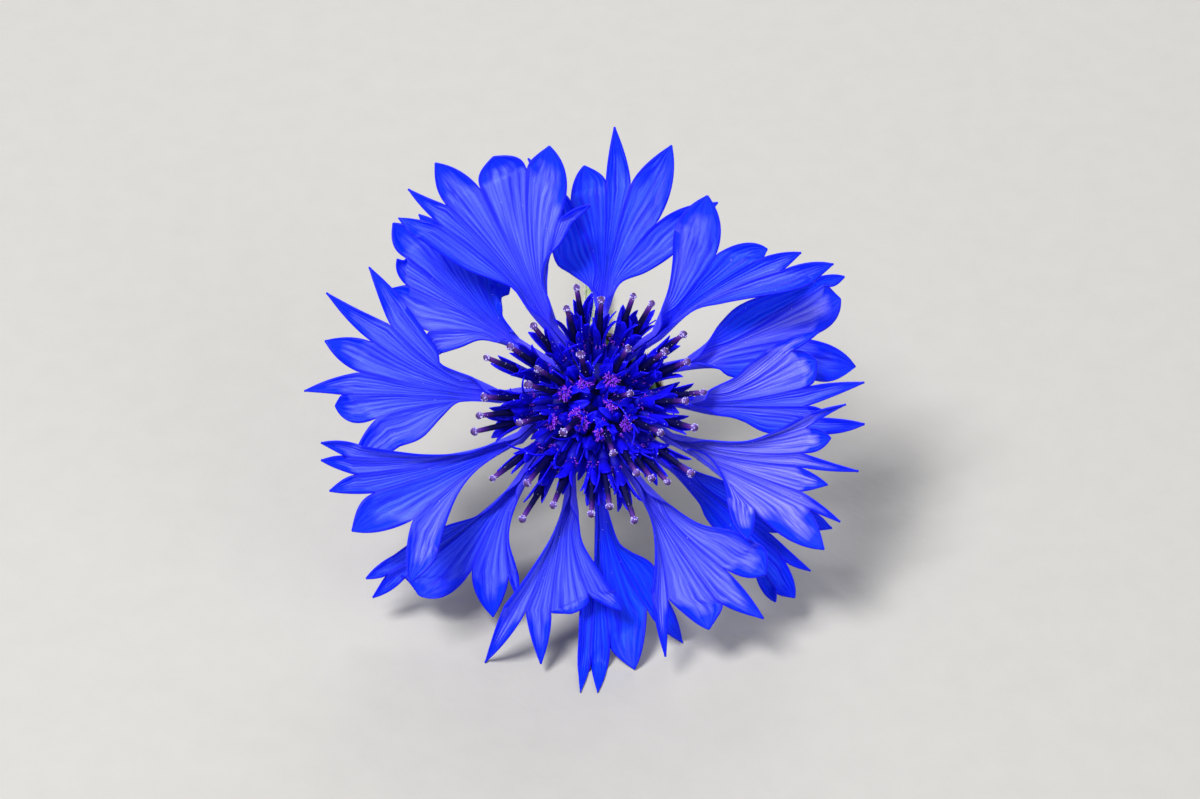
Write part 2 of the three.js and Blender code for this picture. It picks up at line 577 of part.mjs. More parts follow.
// ---- the flower ---------------------------------------------------------------------------------
function mesh(name, geometry, colour) {
  const material = new THREE.MeshStandardMaterial({ color: colour, roughness: 0.7, metalness: 0 });
  const object = new THREE.Mesh(geometry, material);
  object.name = name;
  return object;
}

const head = new THREE.Group();
head.rotation.x = Math.PI / 2 - tilt;
head.add(mesh('involucre', involucre(), SOURCE_COLOURS.cup));
head.add(mesh('disc_florets', discFlorets(), SOURCE_COLOURS.disc));
RAYS.forEach((ray, i) => {
  const name = `ray_floret_${String(i + 1).padStart(2, '0')}`;
  head.add(mesh(name, rayFloret(ray, i), SOURCE_COLOURS.ray));
});

const group = new THREE.Group();
group.add(head, mesh('stem', stem(), SOURCE_COLOURS.stem));
group.position.set(BASE_X, BASE_Y, -surfaceHeight);

export default group;
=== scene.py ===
# %% [markdown]
# # A cornflower head, picked and laid down
# A cornflower is not one flower but a head of many small ones. Wide blue trumpets stand round
# the rim, and a tuft of narrow dark florets fills the middle. All root in a green cup of scales.
# Every piece here is mesh code: short functions turn a few measured points into many small
# faces. The coarse solids of the frame give each piece its place, the code below its finish.

import math
from itertools import combinations

import bpy
import numpy as np
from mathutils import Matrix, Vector


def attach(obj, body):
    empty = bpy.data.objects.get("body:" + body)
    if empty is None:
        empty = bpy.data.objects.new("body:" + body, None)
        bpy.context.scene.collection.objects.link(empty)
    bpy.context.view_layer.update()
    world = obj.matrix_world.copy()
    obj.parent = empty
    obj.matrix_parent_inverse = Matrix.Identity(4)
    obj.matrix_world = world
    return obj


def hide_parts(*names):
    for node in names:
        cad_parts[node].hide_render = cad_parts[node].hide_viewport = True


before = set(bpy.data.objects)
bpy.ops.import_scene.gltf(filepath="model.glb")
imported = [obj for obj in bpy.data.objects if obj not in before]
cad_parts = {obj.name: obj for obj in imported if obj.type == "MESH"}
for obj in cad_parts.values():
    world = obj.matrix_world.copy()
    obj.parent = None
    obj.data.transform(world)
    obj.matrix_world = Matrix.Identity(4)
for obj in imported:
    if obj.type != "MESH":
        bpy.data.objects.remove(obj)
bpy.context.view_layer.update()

# %% [markdown]
# ## One frame for the whole head
# The florets spread evenly round the head's own axis, so it is far easier to shape them there:
# x to the head's right, y to its top, z out of its face, in millimetres, from the head's foot.
# One function then tips everything into the world, where the head leans back and looks forward
# and up. Another says how deep the table lies, so that no petal sinks into it.

# %% Head frame
MM = 0.001
FACE_TILT = math.radians(41)
RISE = math.sin(FACE_TILT)
LEAN = math.cos(FACE_TILT)
PIECE_GAP = 0.3
STEM_RADIUS = 1.0
STEM_NECK_LENGTH = 1.0
STEM_BEND_RADIUS = 18.0
STEM_DROP = STEM_BEND_RADIUS * (1 - LEAN) + (PIECE_GAP + STEM_NECK_LENGTH) * RISE
SURFACE = -(STEM_DROP + STEM_RADIUS)
BASE = np.array([0.9, -3.9, -SURFACE])
UP = np.array([0.0, 0.0, 1.0])


def to_world(points):
    """Turns head-frame millimetres into world metres."""
    x, y, z = np.asarray(points, float).T
    return MM * (np.column_stack([x, y * RISE - z * LEAN, y * LEAN + z * RISE]) + BASE)


def surface_depth(y):
    """How deep in the head's frame the table lies, at height y on the head's face."""
    return (SURFACE - y * LEAN) / RISE


print("the head's foot is", round(-SURFACE, 2), "mm above the table")

# %% [markdown]
# ## Helpers for meshes
# A grid of points becomes a skin when each square of four neighbours becomes a face.
# `add_piece` makes the object, names the frame's solid that it stands for, and stores marks on
# its points. A mark is a number per point, such as how far along a petal it lies. Materials read
# marks, so a vein follows its petal however the petal bends. `smooth_line` draws a curve through a
# few given points, which is all that most of the shapes below start from.

# %% Faces and pieces
pieces_made = {}


def grid_faces(rows, columns, first=0, closed=False):
    """Four-sided faces between rows of points; closed joins the last column to the first."""
    across = columns if closed else columns - 1
    i, j = np.meshgrid(np.arange(rows - 1), np.arange(across), indexing="ij")
    here = first + i * columns + j
    side = first + i * columns + (j + 1) % columns
    faces = np.stack([here, side, side + columns, here + columns], axis=-1)
    return faces.reshape(-1, 4).tolist()


def add_piece(name, points, faces, materials, stands_for=None, marks=None, kinds=None):
    """Makes a smooth mesh piece out of head-frame points, rides it on the part and returns it."""
    mesh = bpy.data.meshes.new(name)
    mesh.from_pydata(to_world(points).tolist(), [], faces)
    for material in materials:
        mesh.materials.append(material)
    if kinds is not None:
        mesh.polygons.foreach_set("material_index", kinds)
    mesh.polygons.foreach_set("use_smooth", [True] * len(mesh.polygons))
    for mark, values in (marks or {}).items():
        stored = mesh.attributes.new(mark, "FLOAT", "POINT")
        stored.data.foreach_set("value", np.asarray(values, float))
    piece = bpy.data.objects.new(name, mesh)
    bpy.context.scene.collection.objects.link(piece)
    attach(piece, "root")
    if stands_for:
        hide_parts(stands_for)
    pieces_made[name] = len(mesh.polygons)
    return piece


def thicken(piece, millimetres):
    """Gives a sheet the thickness of the real leaf or petal, half to each side."""
    skin = piece.modifiers.new("thickness", "SOLIDIFY")
    skin.thickness = millimetres * MM
    skin.offset = 0
    return piece


print("a grid of 3 by 4 points makes", len(grid_faces(3, 4)), "faces")

# %% Smooth lines
FINE_STEPS = 12


def unit(vectors):
    """The same directions with length one."""
    return vectors / np.linalg.norm(vectors, axis=-1, keepdims=True)


def smoothstep(t):
    """0 up to t = 0 and 1 from t = 1, with a soft start and end between them."""
    t = np.clip(t, 0, 1)
    return t * t * (3 - 2 * t)


def respace(line, count):
    """The same line with evenly spaced points."""
    reach = np.r_[0, np.cumsum(np.linalg.norm(np.diff(line, axis=0), axis=1))]
    at = np.linspace(0, reach[-1], count)
    return np.column_stack([np.interp(at, reach, line[:, i]) for i in range(line.shape[1])])


def smooth_line(points, count):
    """Evenly spaced points on a smooth curve through the given ones."""
    given = np.asarray(points, float)
    padded = np.vstack([2 * given[0] - given[1], given, 2 * given[-1] - given[-2]])
    t = np.linspace(0, 1, FINE_STEPS, endpoint=False)[:, None]
    fine = []
    for a, b, c, d in zip(padded, padded[1:], padded[2:], padded[3:]):
        bend = (2 * a - 5 * b + 4 * c - d) * t**2 + (3 * b - 3 * c + d - a) * t**3
        fine.append(0.5 * (2 * b + (c - a) * t + bend))
    return respace(np.vstack([*fine, given[-1:]]), count)


print("halfway through a smooth step:", smoothstep(0.5))

# %% [markdown]
# ## Helpers for materials
# Colours are written as the hex values that a paint chart or a web page uses. Blender's shaders
# want linear light, so one function turns them. Another adds a node with its settings and links,
# which keeps a material readable: each line is one node, and says what feeds it.

# %% Material helpers
def linear(colour):
    """sRGB hex to linear red, green, blue and full alpha."""
    parts = [int(colour[i : i + 2], 16) / 255 for i in (1, 3, 5)]
    return (*(v / 12.92 if v <= 0.04045 else ((v + 0.055) / 1.055) ** 2.4 for v in parts), 1.0)


def add_node(tree, kind, inputs=None, output=0, **settings):
    """Adds a node and returns its output. An input takes a value, or another node's output."""
    made = tree.nodes.new("ShaderNode" + kind)
    for key, value in settings.items():
        setattr(made, key, value)
    for key, value in (inputs or {}).items():
        if isinstance(value, bpy.types.NodeSocket):
            tree.links.new(value, made.inputs[key])
        else:
            made.inputs[key].default_value = value
    return made.outputs[output]


def new_material(name, **surface):
    """A material with its shader's constants set, returned with its node tree and shader."""
    material = bpy.data.materials.new(name)
    material.use_nodes = True
    tree = material.node_tree
    shader = tree.nodes["Principled BSDF"]
    for key, value in surface.items():
        shader.inputs[key.replace("_", " ")].default_value = value
    return material, tree, shader


def finish_material(tree, shader, colour, height, depth_mm):
    """Links the colour, and raises the surface by depth_mm where the height is 1."""
    normal = add_node(tree, "Bump", {"Height": height, "Distance": depth_mm * MM})
    tree.links.new(colour, shader.inputs["Base Color"])
    tree.links.new(normal, shader.inputs["Normal"])


print("mid grey in linear light:", round(linear("#808080")[0], 3))

# %% [markdown]
# ## Petal tissue
# A cornflower's blue is a pigment dissolved in the cells of a petal only 0.15 mm thick, so light
# sinks in, scatters and comes out a purer blue. The cells bulge, which gives a soft satin sheen.
# Fine veins run out from the throat, darker than the tissue between them, and the rim is
# the purest blue. Subsurface scattering gives the depth and sheen the satin. Light and shade are
# painted in as well: the tissue is painted paler where a petal faces the light, its streaks mix
# a lit and a shaded blue, and a dark line on each seam between lobes is painted crease shade.
# The marks stored on the mesh guide the veins, which a texture laid over the whole head could
# not follow.

# %% Ray petal material
VEINS_PER_LOBE = 5
VEIN_SWAY = 0.3
VEIN_WIDTH = 0.16
SEAM_WIDTH = 0.09
# nine streaks across a lobe some 4 mm wide, long ones along it; real rows of cells are finer
STREAKS = (9.0, 1.3, 1.0)
BLUE_PATCH = 2.5 * MM


def petal_tissue():
    """Satin blue petal tissue, a wet cell layer of IOR 1.38, veined, and purer at its rim."""
    material, tree, shader = new_material(
        "petal_tissue",
        Roughness=0.5,
        IOR=1.38,
        Specular_IOR_Level=0.25,
        Subsurface_Weight=0.15,
        Subsurface_Radius=(0.05, 0.1, 1.0),
        Subsurface_Scale=0.4 * MM,
        Sheen_Weight=0.08,
        Sheen_Roughness=0.4,
        Sheen_Tint=linear("#7f90ff"),
    )
    across = add_node(tree, "Attribute", output="Fac", attribute_name="across")
    along = add_node(tree, "Attribute", output="Fac", attribute_name="along")
    border = add_node(tree, "Attribute", output="Fac", attribute_name="border")
    pale = add_node(tree, "Attribute", output="Fac", attribute_name="pale")
    place = add_node(tree, "TexCoord", output="Object")
    # streaks that run with the petal, because their pattern is laid out along and across it
    lengthwise = add_node(tree, "CombineXYZ", {0: across, 1: along})
    lengthwise = add_node(tree, "Mapping", {0: lengthwise, 3: STREAKS})
    streak = add_node(tree, "TexNoise", {"Vector": lengthwise, "Scale": 1.0, "Detail": 5.0})
    # veins, as stripes across each lobe that wander a little, and the seams between lobes
    wander = add_node(tree, "TexNoise", {"Vector": place, "Scale": 1 / BLUE_PATCH})
    swayed = {0: wander, 1: VEIN_SWAY, 2: across}
    swayed = add_node(tree, "Math", swayed, operation="MULTIPLY_ADD")
    stripe = add_node(tree, "Math", {0: swayed, 1: 0.5 / VEINS_PER_LOBE}, operation="PINGPONG")
    line = {"Value": stripe, "From Max": VEIN_WIDTH / VEINS_PER_LOBE, "To Min": 1.0, "To Max": 0.0}
    vein = add_node(tree, "MapRange", line, interpolation_type="SMOOTHSTEP")
    fold = add_node(tree, "Math", {0: across, 1: 0.5}, operation="PINGPONG")
    line = {"Value": fold, "From Max": SEAM_WIDTH, "To Min": 1.0, "To Max": 0.0}
    seam = add_node(tree, "MapRange", line, interpolation_type="SMOOTHSTEP")
    near = add_node(tree, "MapRange", {"Value": along, "From Min": 0.0, "From Max": 0.3})
    far = add_node(tree, "MapRange", {"Value": along, "From Min": 2.0, "From Max": 1.6})
    shown = add_node(tree, "Math", {0: near, 1: far}, operation="MULTIPLY")
    vein = add_node(tree, "Math", {0: vein, 1: shown}, operation="MULTIPLY")
    # tissue: streaky, painted paler where the pale mark puts light, a pure blue in patches near its
    # rim
    clear = add_node(tree, "MapRange", {"Value": streak, "From Min": 0.36, "From Max": 0.62})
    deep, painted_pale = linear("#0018ec"), linear("#363cf4")
    deep = add_node(tree, "Mix", {0: pale, 6: deep, 7: painted_pale}, 2, data_type="RGBA")
    lit, painted_pale = linear("#0240ff"), linear("#8484ff")
    lit = add_node(tree, "Mix", {0: pale, 6: lit, 7: painted_pale}, 2, data_type="RGBA")
    # painted light and shade: the streaks, laid along the rows of cells, mix a shaded (deep) and a
    # lit copy of the blue as a painted satin sheen
    tissue = add_node(tree, "Mix", {0: clear, 6: deep, 7: lit}, 2, data_type="RGBA")
    patch = add_node(tree, "Math", {0: wander, 1: 0.9, 2: border}, operation="MULTIPLY_ADD")
    rim = add_node(tree, "MapRange", {"Value": patch, "From Min": 0.68, "From Max": 1.12})
    pure, violet, vein_ink_and_crease_shade = linear("#0028ff"), linear("#443cf6"), linear("#0408e6")
    tissue = add_node(tree, "Mix", {0: rim, 6: tissue, 7: pure}, 2, data_type="RGBA")
    throat = add_node(tree, "MapRange", {"Value": along, "From Min": 0.4, "From Max": -0.1})
    tissue = add_node(tree, "Mix", {0: throat, 6: tissue, 7: violet}, 2, data_type="RGBA")
    # painted shade: the dark line on each seam between lobes stands for the shadow in its crease;
    # the veins darken as real veins do
    dark = add_node(tree, "Math", {0: vein, 1: 0.45}, operation="MULTIPLY")
    dark = add_node(tree, "Math", {0: dark, 1: seam}, operation="MAXIMUM")
    dark = add_node(tree, "Math", {0: dark, 1: 0.8}, operation="MULTIPLY")
    tissue = add_node(tree, "Mix", {0: dark, 6: tissue, 7: vein_ink_and_crease_shade}, 2, data_type="RGBA")
    # relief: ridges between the veins, fine ones along the streaks
    ridge = add_node(tree, "Math", {0: stripe, 1: float(VEINS_PER_LOBE)}, operation="MULTIPLY")
    ridge = add_node(tree, "Math", {0: ridge, 1: shown}, operation="MULTIPLY")
    height = add_node(tree, "Math", {0: streak, 1: 0.8, 2: ridge}, operation="MULTIPLY_ADD")
    finish_material(tree, shader, tissue, height, 0.12)
    return material


PETAL = petal_tissue()
print("petal veins per lobe:", VEINS_PER_LOBE)

# %% [markdown]
# ## The ray florets' outlines
# Each outer floret is a tube that opens into a slanted trumpet and ends in pointed lobes. It
# could be sculpted, but a short table says it better: where the trumpet opens, its two borders,
# the tips of its lobes and the notches between them. Everything else follows by rule. The
# florets go clockwise from the top one. A tip's third number bends that lobe up or down, and its
# fourth says how full it is. Pale paints light, from the left border to the right: the tissue is
# painted paler where that part faces the light, and stays a saturated blue where it lies in shade.

# %% Ray floret outlines
LAYERS = {
    "front": {"start": 16.6, "rise": 0.12, "curl": 1.2},
    "middle": {"start": 15.6, "rise": 0.04, "curl": 0.9},
    "back": {"start": 14.7, "rise": -0.06, "curl": 0.7},
}
RAYS = [
    {
        "layer": "back", "pale": [0, 0.2], "opens": [0.6, 7.6],
        "left": [[-0.4, 9.4], [-2, 10.6], [-3.2, 11.5], [-3.7, 13.9], [-3.5, 15.9]],
        "right": [[2, 9.8], [4.1, 10.7], [5.9, 11.8], [7.2, 12.9]],
        "tips": [
            [-5.5, 20.1], [-0.9, 19.5, 0, 2.6], [1.6, 22.7, 0, 1.5], [6.3, 21.2, 0, 2],
            [10.1, 16.5],
        ],
        "notches": [[-2, 16.6], [0.9, 17.4], [2.9, 17.9], [5, 14.7]],
    },
    {
        "layer": "front", "pale": [0.6, 0.1, 0.05, 0.35, 0.05], "opens": [5, 5.5],
        "left": [[5.9, 9], [6.3, 11.5], [6.3, 12.7], [6.4, 13.8]],
        "right": [[7.9, 7.5], [10.2, 8.1], [11.2, 8.3], [15.9, 9.1], [17.5, 9.7]],
        "tips": [[9.1, 16.8, 0, 2.6], [14, 12.5, 0, 2], [16.7, 12.2, 0, 1.3], [19.2, 11.2, 0, 1.3]],
        "notches": [[9.8, 12], [13.2, 11.6], [14.9, 10.6]],
    },
    {
        "layer": "back", "pale": [0, 0, 0.9, 0.3, 0], "opens": [7.6, 3.2],
        "left": [[9.2, 5], [10.3, 6.6], [12.2, 8.2], [16.7, 9.7]],
        "right": [[9, 2.9], [10.2, 2.8], [11.6, 2.1], [17.9, 1.9]],
        "tips": [[20.5, 10.4, 0, 2], [20.2, 8.6, 0, 2.6], [21.5, 3, -1.6, 2.4]],
        "notches": [[18.8, 9.6], [16.9, 5.3]],
    },
    {
        "layer": "middle", "pale": [0.95, 0.85, 0.3, 0.5, 0], "opens": [7.9, -0.1],
        "left": [[9, 0.9], [10.2, 1.5], [11.4, 2.1], [12.6, 3.2], [13.8, 4.1]],
        "right": [[9.4, -0.9], [11, -1.1], [12.2, -1.5], [14.1, -2.4], [17.7, -2.5]],
        "tips": [
            [18.2, 5.8, 0, 1.3], [18, 3.5, 0, 3], [21.9, 1.7], [18.8, -0.8],
            [21.9, -1.7, 0, 2.6],
        ],
        "notches": [[15.9, 4.2], [16.9, 1.2], [16.9, -0.3], [17.7, -1.2]],
    },
    {
        "layer": "front", "pale": [1.2, 1.05], "opens": [6.1, -2.9],
        "left": [[9, -3], [12.2, -3.1], [14.7, -2.2], [16.7, -1.1]],
        "right": [[8.5, -3.9], [9.5, -4.6], [10.3, -5.9], [10.7, -7.5]],
        "tips": [
            [20.2, -0.1, 0, 1.2], [19, -2.8, 0, 3], [21.3, -5.5, 0, 1.2], [18.8, -6.6, 0, 1.3],
            [19.8, -9.6, 0, 1.2], [18.5, -11.8, 0, 2], [12.3, -11, 1.4, 2.4],
        ],
        "notches": [[17, -2], [16.5, -4], [15.9, -5], [16.5, -7.1], [16.9, -8.3], [12.8, -8.5]],
    },
    {
        "layer": "back", "pale": [0.1, 0], "opens": [5.9, -4.8],
        "left": [[8.5, -5.7], [10.3, -6.3], [16.7, -8.9]],
        "right": [[6.5, -5.8], [8.5, -8.1], [9.4, -9.8], [13.2, -14.2]],
        "tips": [[19.5, -10.3], [17.7, -13.8, 0, 1.3], [16.4, -16, 0, 2], [14.8, -16.3]],
        "notches": [[14.2, -10.6], [15, -12.2], [14.7, -15.1]],
    },
    {
        "layer": "front", "pale": [0.6, 0.5], "opens": [3.7, -6.7],
        "left": [[6.1, -8.3], [8.5, -9.8], [11, -10.3], [12.8, -11.2]],
        "right": [[4.6, -9.5], [4.9, -12.4], [4.6, -15.2]],
        "tips": [[13.8, -13.8, 0, 3], [13.6, -17.4], [9.2, -18.3, 0, 2], [5.7, -20.5, 0, 1.4]],
        "notches": [[10.3, -13.3], [9.8, -15.9], [5.9, -15.8]],
    },
    {
        "layer": "back", "pale": [0, 0.05], "rise": 0.06, "opens": [0.2, -6.7],
        "left": [[0.9, -8.3], [1.8, -11.2], [2.8, -12.1], [4.7, -13.2], [5.9, -16]],
        "right": [[0.1, -7.9], [0, -12.8], [-1.1, -16], [-1.3, -19.3]],
        "tips": [[7.2, -19.7, -2.6, 2.2], [3.2, -21.7, 0, 2.2], [0.2, -23.4], [-1.2, -23.4]],
        "notches": [[4.2, -16.7], [1.1, -18.6], [-0.4, -20.5]],
    },
    {
        "layer": "front", "pale": [0.35, 0.45], "rise": 0.02, "opens": [-2, -7.5],
        "left": [[-1.4, -8.7], [-1.1, -11.2], [0.2, -13.4], [1.4, -15.1]],
        "right": [[-2.8, -9.1], [-3.7, -11.2], [-5.5, -14], [-7.3, -16.4]],
        "tips": [[2.2, -16.8], [-2, -17.1, 0, 3], [-4.4, -21.2], [-9, -21.2, -3]],
        "notches": [[-0.6, -15.4], [-3.6, -16.9], [-5.6, -16.8]],
    },
    {
        "layer": "back", "pale": [0.5, 0.15, 0.15], "opens": [-6.1, -6.4],
        "left": [[-6.8, -9.1], [-7.1, -11.2], [-6.5, -13.4]],
        "right": [[-7.7, -7.7], [-9.5, -9.2], [-12, -10], [-14.2, -10.9], [-16.5, -12.5]],
        "tips": [
            [-6.4, -15.8], [-8.4, -17.6, 0, 1.9], [-14.5, -15.8, 0, 2.6], [-18.3, -16],
            [-18.8, -14.4],
        ],
        "notches": [[-7.1, -14.1], [-10.1, -13.7], [-15.7, -14.4], [-17, -14]],
    },
    {
        "layer": "front", "pale": [0.6, 0.1, 0.35, 0.4], "opens": [-6.1, -2.8],
        "left": [[-6.9, -3.6], [-9.4, -5.2], [-11, -7.1], [-12, -9.5], [-12.6, -11.6]],
        "right": [[-7.7, -3], [-10.2, -4], [-13.4, -4.2], [-16.3, -3.9], [-18.7, -3.5]],
        "tips": [
            [-14.9, -14.5, 0, 2], [-19.6, -10.3, 0, 2.4], [-21.5, -7.1], [-22.1, -4.6],
            [-22.1, -3.2],
        ],
        "notches": [[-14.7, -9.4], [-17.7, -7.2], [-19.1, -5.8], [-19.8, -4.4]],
    },
    {
        "layer": "middle", "pale": [0.3, 0.3], "opens": [-7.7, 0.5],
        "left": [[-9.4, 0.2], [-11.2, 0.1], [-12.5, -1.1], [-14.1, -2.8], [-15.9, -3.5]],
        "right": [[-9.8, 2], [-12.5, 3.1], [-12.8, 4.2], [-13.8, 5.7], [-15.2, 7.7]],
        "tips": [
            [-19.9, -5.5], [-21.2, -0.2, 0, 3], [-23.7, 1, 0, 1.2], [-22, 5.1, 0, 2.2],
            [-21.9, 9, 0, 1.2], [-18.4, 11.1, 0, 1.3],
        ],
        "notches": [[-17.7, -1.2], [-20.1, 0.7], [-19.1, 2.5], [-18, 4.9], [-16.6, 6.3]],
    },
    {
        "layer": "back", "pale": [0.5, 0], "opens": [-6.5, 4.9],
        "left": [[-7.7, 4.9], [-9.4, 5.2], [-11, 4.6], [-12.6, 4.1]],
        "right": [[-7.5, 6.9], [-7.6, 7.7]],
        "tips": [
            [-13.8, 4.2], [-16.8, 9.4, 0, 2], [-16.2, 11.8, 0, 1.3], [-16.6, 14.8, 0, 2.5],
            [-14.5, 15.5, 0, 1.2], [-7.1, 8.9],
        ],
        "notches": [[-13.6, 5.9], [-15.1, 9.4], [-15.5, 11.9], [-13.4, 13.4], [-10, 12.5]],
    },
    {
        "layer": "front", "pale": [0.2, 0.5], "opens": [-3.4, 5.9],
        "left": [
            [-5.3, 7.4], [-6.5, 9.2], [-7.7, 9.8], [-10.2, 10.7], [-12.2, 11.9], [-14.2, 13.3],
        ],
        "right": [[-3.7, 8.2], [-4.3, 10], [-3.9, 11.8], [-2.8, 12.9], [-1.8, 14.7]],
        "tips": [
            [-15.9, 15, 0, 1.4], [-15.1, 17.3, 0, 1.2], [-12.9, 19.4, 0, 2.4], [-8.2, 19.9, 0, 3.4],
            [-3.7, 20.8, 0, 2.2], [-0.4, 16, 0, 1.8],
        ],
        "notches": [[-12.2, 14.2], [-11.9, 15.9], [-9.2, 17.2], [-5.5, 18.8], [-3, 14.7]],
    },
]
print("ray florets:", len(RAYS), "with", sum(len(ray["tips"]) for ray in RAYS), "lobes")

# %% [markdown]
# ## The trumpet as an unrolling sheet
# Cut across, the floret's tube is a closed ring. Further out the ring springs open along the side
# that faces the middle of the head, and flattens, until at the notches it is only a shallow bowl.
# So each row of points is an arc: its turn falls from a full circle to a gentle curve, and its
# width comes from the borders. The free lobes carry the rows on to their tips, and the tube
# carries them back down to the root inside the cup, so a whole floret is one sheet.

# %% Borders and seams
BLADE_ROOT_WIDTH = 0.9
BLADE_ROWS = 26
SEAM_BOW = 0.45  # how far toward the notch a seam runs straight out before it turns
SEAM_POINTS = 24


def floret_seams(ray):
    """Rows of points on a trumpet's borders and on the seams from its mouth to its notches."""
    start = np.array(ray["opens"])
    out = unit(start)
    left = np.array([-out[1], out[0]])
    count = len(ray["tips"])
    roots = [start + left * BLADE_ROOT_WIDTH * (0.5 - k / count) for k in range(count + 1)]
    lines = [smooth_line([roots[0], *ray["left"]], BLADE_ROWS)]
    t = np.linspace(0, 1, SEAM_POINTS)[:, None]
    for root, notch in zip(roots[1:], np.array(ray["notches"])):
        bow = root + out * SEAM_BOW * ((notch - root) @ out)
        line = (1 - t) ** 2 * root + 2 * t * (1 - t) * bow + t**2 * notch
        lines.append(respace(line, BLADE_ROWS))
    lines.append(smooth_line([roots[-1], *ray["right"]], BLADE_ROWS))
    return np.stack(lines, axis=1)


print("rows, seams and coordinates of the first blade:", floret_seams(RAYS[0]).shape)

# %% Trumpet rows
CLOSED_TURN = math.radians(350)
THROAT = 0.42  # of the blade's length, over which the tube springs open
SINK_AT_TUBE = 0.82
SINK_OF_BLADE = 0.35
CURL_REACH = 1.9  # a blade curls up most at half of this share of its length
CREASE = 0.42
CREASE_MIDDLE = 0.6


def blade_row(ray, seams, i, share):
    """One row of the trumpet, from its left border to its right one."""
    layer = LAYERS[ray["layer"]]
    count = len(ray["tips"])
    s = i / (BLADE_ROWS - 1)
    width = np.linalg.norm(seams[i, 0] - seams[i, -1])
    shut = smoothstep(1 - s / THROAT)
    bowl = 4 * math.atan(2 * layer["curl"] * s * (CURL_REACH - s) / width)
    half = (bowl + (CLOSED_TURN - bowl) * shut) / 2
    widest = math.sin(min(half, math.pi / 2))
    angle = (2 * share - 1) * half
    sideways = np.sin(angle) / widest
    sideways += (2 * share - 1 - sideways) * s**2
    at = (sideways + 1) / 2 * count
    lines = np.arange(count + 1)
    places = np.column_stack([np.interp(at, lines, seams[i, :, axis]) for axis in (0, 1)])
    rise = ray.get("rise", layer["rise"]) * np.linalg.norm(places - ray["opens"], axis=1)
    sink = SINK_OF_BLADE + (SINK_AT_TUBE - SINK_OF_BLADE) * shut
    bowed = width / 2 / widest * (1 - np.cos(angle))
    fold = (2 * ((share * count) % 1) - 1) ** 2
    pleat = CREASE * s * (1 - shut) * (fold - CREASE_MIDDLE)
    return np.column_stack([places, layer["start"] - sink + rise + bowed + pleat])


print("a trumpet is fully open at", THROAT, "of its blade")

# %% Lobes
LOBE_COLUMNS = 16
LOBE_ROWS = 18
LOBE_FULLNESS = 1.6  # 1 for a triangle, 3 for a round lobe
LOBE_POINT = 0.03
LOBE_FREED = 4  # a lobe has left the blade's bowl at one part in this many of its length
GUTTER = 1.3
LOBE_SPREADS = [0.45, 0.3, 0.1]  # of its twist, its curl and its sway
rng = np.random.default_rng(7)


def lobe_grid(ray, seams, k, base_row, x, y, bend=0.0, fullness=LOBE_FULLNESS):
    """Rows of one lobe, from the line between its notches to its tip."""
    a, b = seams[-1, k], seams[-1, k + 1]
    root, end = (a + b) / 2, np.array([x, y])
    along = unit(end - root)
    half = (b - a) / 2
    square = np.array([along[1], -along[0]]) * np.linalg.norm(half)
    u = np.linspace(-1, 1, LOBE_COLUMNS + 1)
    middle_depth = base_row[LOBE_COLUMNS // 2, 2] + CREASE_MIDDLE * CREASE
    side = base_row[:, 2] - middle_depth
    slope = ray.get("rise", LAYERS[ray["layer"]]["rise"])
    power = fullness * rng.uniform(0.95, 1.1)
    twist, curl, sway = rng.normal(0, LOBE_SPREADS)
    rows = []
    for t in np.linspace(0, 1, LOBE_ROWS + 1)[1:]:
        free = smoothstep(t * LOBE_FREED)
        width = max(1 - t**power, LOBE_POINT / np.linalg.norm(half))
        slant = half * (1 - t) + square * t
        swayed = square * sway * math.sin(math.pi * t)
        places = root + (end - root) * t + u[:, None] * slant * width + swayed
        reach = np.linalg.norm(end - root) * t
        gutter = CREASE * GUTTER * (u**2 - CREASE_MIDDLE) * width * free
        depth = middle_depth + slope * reach + (bend + curl) * t * t + side * (1 - free)
        depth = depth + side.mean() * free * (1 - t) + gutter + twist * u * width * t
        rows.append(np.column_stack([places, depth]))
    return np.vstack(rows)


print("points in a lobe:", LOBE_ROWS * (LOBE_COLUMNS + 1))

# %% Tubes
CUP_FLOOR = 5.2
CUP_HEIGHT = 14.0
FIRST_ROOT_ANGLE = 86
RAY_ROOT_CIRCLE = 3.55
RAY_ROOT_DEPTH = CUP_FLOOR + 0.9
RAY_BEND_DEPTH = 12.6
RAY_CREST_CIRCLE = 4.5
TUBE_ROWS = 16
TUBE_RADIUS = 0.43


